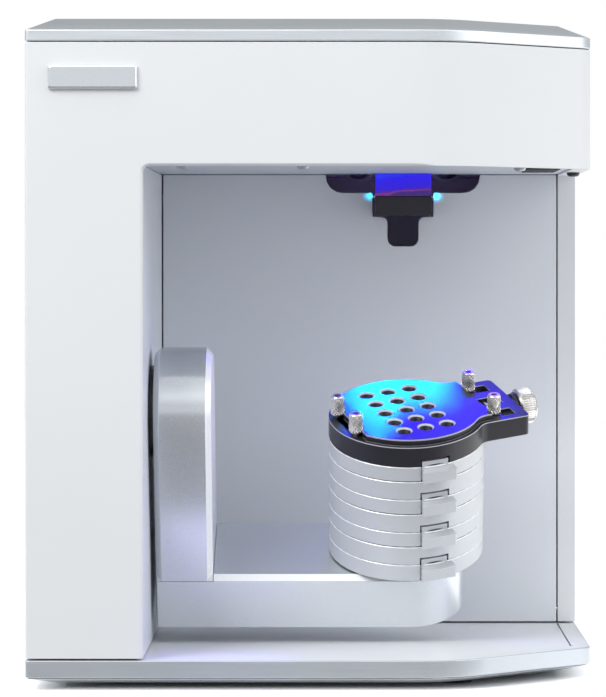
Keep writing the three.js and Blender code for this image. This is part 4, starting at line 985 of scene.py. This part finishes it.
def screws(name, places, head_size, slot, aim):
    """Button heads of one size on places, turned by the aim matrix."""
    head = button_head(name + "_head", *head_size)
    head.data.transform(aim)
    return settle(copies(name, head, places, slot), "housing", slot)


point_down = Matrix.Rotation(math.pi, 4, "X")
ceiling_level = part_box("ceiling_panel")[0].z
ceiling_places = [
    (x, y, ceiling_level) for x, y in ((-0.0655, -0.137), (-0.0047, -0.137), (0.1066, -0.105))
]
ceiling_head = (0.0032, 0.0024, 0.0012)
screws("ceiling_screws", ceiling_places, ceiling_head, "zinc_plated", point_down)
rail_place = (0.1395, -0.015, ceiling_level - 0.0007)
rail_head = (0.0035, 0.0023, 0.0013)
screws("rail_screw", [rail_place], rail_head, "black_anodised", point_down)
print("ceiling screws", len(ceiling_places), "and one in the rail")

# %% [markdown]
# A dark strip in the slot of the ceiling is painted shade. A plain box with the black rubber
# finish, which stands a little proud of the panel, is all it takes.

# %% Painted shade in the ceiling slot
slot_low, slot_high = (0.1115, -0.086), (0.1285, -0.020)
shade_drop, shade_lap = 0.0010, 0.0002


def block(name, low, high):
    """Plain box with its faces outward."""
    work = bmesh.new()
    bmesh.ops.create_cube(work, size=1)
    piece = piece_from(work, name)
    low, high = Vector(low), Vector(high)
    piece.data.transform(
        Matrix.Translation((low + high) / 2) @ Matrix.Diagonal((*(high - low), 1))
    )
    return piece


shade_low = (*slot_low, ceiling_level - shade_drop)
shade_high = (*slot_high, ceiling_level + shade_lap)
# Dark box that stands for the shade in the slot
slot_lining = block("slot_lining", shade_low, shade_high)
settle(slot_lining, "housing", "black_rubber")
print("slot lining", [round(side * 1000, 1) for side in slot_lining.dimensions])

# %% [markdown]
# The rear panel and the fan behind it are held by more of the same heads, pointing backwards.

# %% Screws of the rear
point_back = Matrix.Rotation(-math.pi / 2, 4, "X")
panel_low, panel_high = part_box("rear_panel")
panel_inset = 0.008
panel_columns = (panel_low.x + panel_inset, panel_high.x - panel_inset)
panel_rows = (
    panel_low.z + panel_inset, (panel_low.z + panel_high.z) / 2, panel_high.z - panel_inset,
)
panel_places = [(x, panel_high.y, z) for x in panel_columns for z in panel_rows]
screws("rear_screws", panel_places, (0.0027, 0.0015, 0.001), "steel", point_back)
fan_low, fan_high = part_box("fan_frame")
fan_middle = (fan_low + fan_high) / 2
fan_hole = 0.025
fan_places = [
    (fan_middle.x + right * fan_hole, panel_high.y, fan_middle.z + up * fan_hole)
    for right in (-1, 1) for up in (-1, 1)
]
screws("fan_screws", fan_places, (0.0024, 0.0013, 0.001), "steel", point_back)
print("rear screws", len(panel_places), "fan screws", len(fan_places))

# %% [markdown]
# The fixture holes of the jig are tapped. A few fine rings in each hole read as its thread and
# catch the light as a bright crescent, the way the real holes do.

# %% Threads in the fixture holes
hole_pitch = 0.01225
hole_radius = 0.0036
ring_crest = hole_radius - 0.0003
ring_foot = hole_radius - 0.00002
ring_pitch = 0.0008
ring_count = 6
first_ring = 0.0012

ring_places = [
    (column * hole_pitch, row * hole_pitch, jig_high.z - first_ring - level * ring_pitch)
    for column in (-1, 0, 1) for row in (-2, -1, 0, 1, 2) for level in range(ring_count)
]
thread_ring = turned("thread_ring", [
    (ring_crest, 0), (ring_foot, -ring_pitch / 2), (ring_foot, ring_pitch / 2), (ring_crest, 0),
], small_sides)
hole_threads = copies("hole_threads", thread_ring, ring_places, "black_anodised")
hole_threads.data.transform(table_place)
settle(hole_threads, "turntable", "black_anodised")
print("thread rings", len(ring_places))

# %% [markdown]
# Two cameras and the projector look down through the wings of the T-shaped opening. Each has a
# retaining ring with a bright rim and a domed front glass, tilted with the optics by 45 degrees.

# %% Lens glass and retaining rings
optics_place = place_of(spin_joint["pos_m"], (1, 0, 0), (0, 1, 1))
glass_share, lip_share = 0.74, 0.9
glass_steps = 8
glass_rise = 0.0011
ring_seat = 0.0012
glass_back = 0.0022
lip_inside, lip_crest = 0.0004, 0.0006


def lens_front(node):
    low, high = local_box(node, optics_place)
    middle = (low + high) / 2
    rim = (high.x - low.x) / 2
    glass = rim * glass_share
    front, seat, back = low.z, low.z + ring_seat, low.z + glass_back
    dome = []
    for step in range(glass_steps + 1):
        angle = 0.5 * math.pi * step / glass_steps
        dome.append((glass * math.sin(angle), seat - glass_rise * math.cos(angle)))
    lens = turned(node + "_glass", [*dome, (glass, back), (0, back)])
    collar = turned(node + "_rim", [
        (glass, seat), (glass, front - lip_inside), (rim * lip_share, front - lip_crest),
        (rim, front), (rim, seat), (glass, seat),
    ])
    for part, slot in ((lens, "lens_glass"), (collar, "zinc_plated")):
        part.data.transform(optics_place @ Matrix.Translation((middle.x, middle.y, 0)))
        settle(part, "housing", slot)
    return glass


glass_radii = [
    lens_front(node) for node in ("camera_lens_left", "projector_lens", "camera_lens_right")
]
print("lens glass radii in mm", [round(radius * 1000, 1) for radius in glass_radii])

# %% [markdown]
# The stage is a plain pale floor that runs into a white background. It glows a little, as a light
# table does, apart from the place under the object. In front of the object lies a grey card, as a
# photographer would use it: the metal mirrors the card, and the camera sees a white sheet instead.

# %% Floor and card
half_floor = 3.0
floor_glow = 0.5
footprint = (0.125, 0.150)
grey_front, grey_back = -0.548, -0.148
# Grey of the card along Y, as shares of the stretch from grey_front to grey_back
card_greys = [(0.0, 0.30), (0.45, 0.31), (0.75, 0.30), (0.83, 0.28), (0.93, 0.30), (1.0, 0.42)]
left_grey = 0.62
left_from, left_to = -0.01, -0.08


def lying_sheet(name, front, back, material):
    mesh = bpy.data.meshes.new(name)
    left, right = -half_floor, half_floor
    corners = [(left, front, 0), (right, front, 0), (right, back, 0), (left, back, 0)]
    mesh.from_pydata(corners, [], [(0, 1, 2, 3)])
    mesh.materials.append(material)
    sheet = in_scene(name, mesh)
    return sheet


def light_table():
    """Pale floor that glows round the object and not under it."""
    material, tree, shader = blank("pale_floor", (0.95, 0.95, 0.95), 0.7)
    where = parts_of(tree, coordinates(tree))
    sides = [math_node(tree, "ABSOLUTE", where[side]) for side in "XY"]
    outside = stretched(tree, math_node(tree, "MAXIMUM", *sides), *footprint)
    glow = blended(tree, outside, (0, 0, 0), (1, 1, 1))
    wire(tree, shader, Emission_Color=glow, Emission_Strength=floor_glow)
    return material


def grey_card():
    """Grey of the card by distance, darker at the left."""
    material, tree, shader = blank("grey_card", (0.3, 0.3, 0.3), 0.7)
    where = parts_of(tree, coordinates(tree))
    grey = ramp_of(tree, stretched(tree, where["Y"], grey_front, grey_back), card_greys)
    at_left = stretched(tree, where["X"], left_from, left_to)
    darker = between(tree, at_left, 1.0, left_grey)
    wire(tree, shader, Base_Color=math_node(tree, "MULTIPLY", grey, darker))
    return material


def white_sheet():
    material, tree, shader = blank("white_sheet", (0, 0, 0), 1.0)
    wire(tree, shader, Emission_Color=(1, 1, 1, 1), Emission_Strength=1.0)
    return material


floor = lying_sheet("floor", grey_back, half_floor, light_table())
card = lying_sheet("card", -half_floor, grey_back, grey_card())
card.visible_camera = False
front_sheet = lying_sheet("front_sheet", -half_floor, grey_back, white_sheet())
for rays in ("diffuse", "glossy", "transmission", "volume_scatter", "shadow"):
    setattr(front_sheet, "visible_" + rays, False)
bpy.context.scene.view_settings.view_transform = "Standard"
print("stage", floor.name, card.name, front_sheet.name)

# %% [markdown]
# Light comes from a dome that is bright a third of the way up, like soft boxes round a studio, and
# weaker behind the object. Metal mirrors it as bands of light, not as one flat tone. The camera
# sees a plain white background in its place.

# %% Studio dome
back_dome = 0.55
dome_color = (0.95, 0.975, 1.0, 1)
# Strength by height, the sine of the elevation
dome_strengths = [(0.0, 0.86), (0.22, 0.72), (0.47, 1.2), (0.68, 0.84), (0.9, 0.72)]


def studio_dome():
    world = bpy.data.worlds.new("studio")
    world.use_nodes = True
    tree = world.node_tree
    lit = tree.nodes["Background"]
    where = parts_of(tree, add(tree, "ShaderNodeTexCoord").outputs["Generated"])
    at_back = stretched(tree, where["Y"], 0, 0.5)
    behind = between(tree, at_back, 1.0, back_dome)
    strength = math_node(tree, "MULTIPLY", ramp_of(tree, where["Z"], dome_strengths), behind)
    wire(tree, lit, Color=dome_color, Strength=strength)
    plain = add(tree, "ShaderNodeBackground", Color=(1, 1, 1, 1))
    seen = add(tree, "ShaderNodeLightPath").outputs["Is Camera Ray"]
    choice = add(tree, "ShaderNodeMixShader", Fac=seen)
    plug(tree, choice.inputs[1], lit.outputs["Background"])
    plug(tree, choice.inputs[2], plain.outputs["Background"])
    wire(tree, tree.nodes["World Output"], Surface=choice.outputs["Shader"])
    bpy.context.scene.world = world
    return world


studio = studio_dome()
print("world", studio.name, "with", len(dome_strengths), "bands")

# %% [markdown]
# Three large soft lamps finish the room light: the main one from the front left, a weaker one from
# the right and a faint one from the top. Large lamps give soft shadows in the chamber.

# %% Soft lamps
room_middle = (0, 0, 0.16)


def soft_lamp(name, place, target, size, watts, color=(1, 1, 1), cone=180):
    lamp = bpy.data.lights.new(name, "AREA")
    lamp.shape = "RECTANGLE"
    lamp.size, lamp.size_y = size
    lamp.energy = watts
    lamp.color = color
    lamp.spread = math.radians(cone)
    holder = in_scene(name, lamp)
    holder.location = place
    aim = Vector(target) - Vector(place)
    holder.rotation_euler = aim.to_track_quat("-Z", "Y").to_euler()
    return holder


room_lamps = [
    soft_lamp(name, place, room_middle, size, watts) for name, place, size, watts in (
        ("front_lamp", (-1.1, -1.35, 1.45), (1.0, 1.0), 26),
        ("right_lamp", (1.6, -0.5, 0.85), (1.6, 1.6), 11),
        ("top_lamp", (0.1, -0.15, 1.6), (1.4, 0.8), 5.5),
    )
]
print("room lamps in watts", [lamp.data.energy for lamp in room_lamps])

# %% [markdown]
# The projector throws deep blue light from the foot of its hood on the jig, with cyan cores at the
# left and the back. What the jig scatters tints the arm and the floor violet. Two small cyan spots
# lie on the wall beside the hood, and a faint violet glow fills the room behind the opening. The
# lamps that stand close to the arm are kept out of its mirror image.

# %% Blue light of the projector
jig_middle = table_place @ Vector((0, 0.008, jig_high.z))
hood_foot = Vector((jig_middle.x, window_low.y - 0.004, window_low.z - 0.012))
wall_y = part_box("back_wall_panel")[0].y
spot_height = 0.2537
deep_blue, cyan = (0.025, 0.0, 1.0), (0.0, 0.50, 1.0)
scatter_violet, wash_violet, room_violet = (0.22, 0.08, 1.0), (0.20, 0.06, 1.0), (0.40, 0.08, 1.0)
hidden_in_metal = ("scatter", "wash")


def on_jig(x, y):
    return table_place @ Vector((x, y, jig_high.z))


def blue_lamp(name, place, target, size, watts, color, cone):
    lamp = soft_lamp(name, place, target, size, watts, color, cone)
    lamp.visible_camera = False
    lamp.visible_glossy = name not in hidden_in_metal
    return lamp


def wall_spot(name, x, size, watts):
    """A small lamp just in front of the back wall, aimed at it."""
    place, target = (x, wall_y - 0.003, spot_height), (x, wall_y, spot_height)
    return name, place, target, (size, size), watts, cyan, 110


beam_place, beam_target = hood_foot + Vector((0.018, 0, 0)), jig_middle + Vector((0.015, 0, 0))
scatter_place, arm_corner = jig_middle + Vector((0, 0, 0.035)), (-0.10, -0.10, 0.10)
wash_place, wash_target = (-0.045, -0.158, 0.06), (-0.045, -0.13, 0.0154)
glow_place = (jig_middle.x, wall_y + 0.03, window_low.z - 0.02)
# Name, place, target, size, watts, colour and cone in degrees
blue_lamps = [blue_lamp(*lamp) for lamp in (
    ("beam", beam_place, beam_target, (0.09, 0.012), 0.036, deep_blue, 80),
    ("core", hood_foot, on_jig(-0.024, 0.02), (0.008, 0.004), 0.0065, cyan, 24),
    ("back_core", hood_foot, on_jig(0.014, 0.034), (0.05, 0.006), 0.005, cyan, 20),
    ("scatter", scatter_place, arm_corner, (0.03, 0.03), 0.010, scatter_violet, 110),
    ("wash", wash_place, wash_target, (0.06, 0.01), 0.005, wash_violet, 75),
    wall_spot("spot_left", 0.0306, 0.002, 0.00018),
    wall_spot("spot_right", 0.0677, 0.0025, 0.00025),
    ("room_glow", glow_place, (*glow_place[:2], 0.3), (0.06, 0.02), 0.003, room_violet, 160),
)]
print("blue lamps", len(blue_lamps), "from", [round(v, 3) for v in hood_foot])
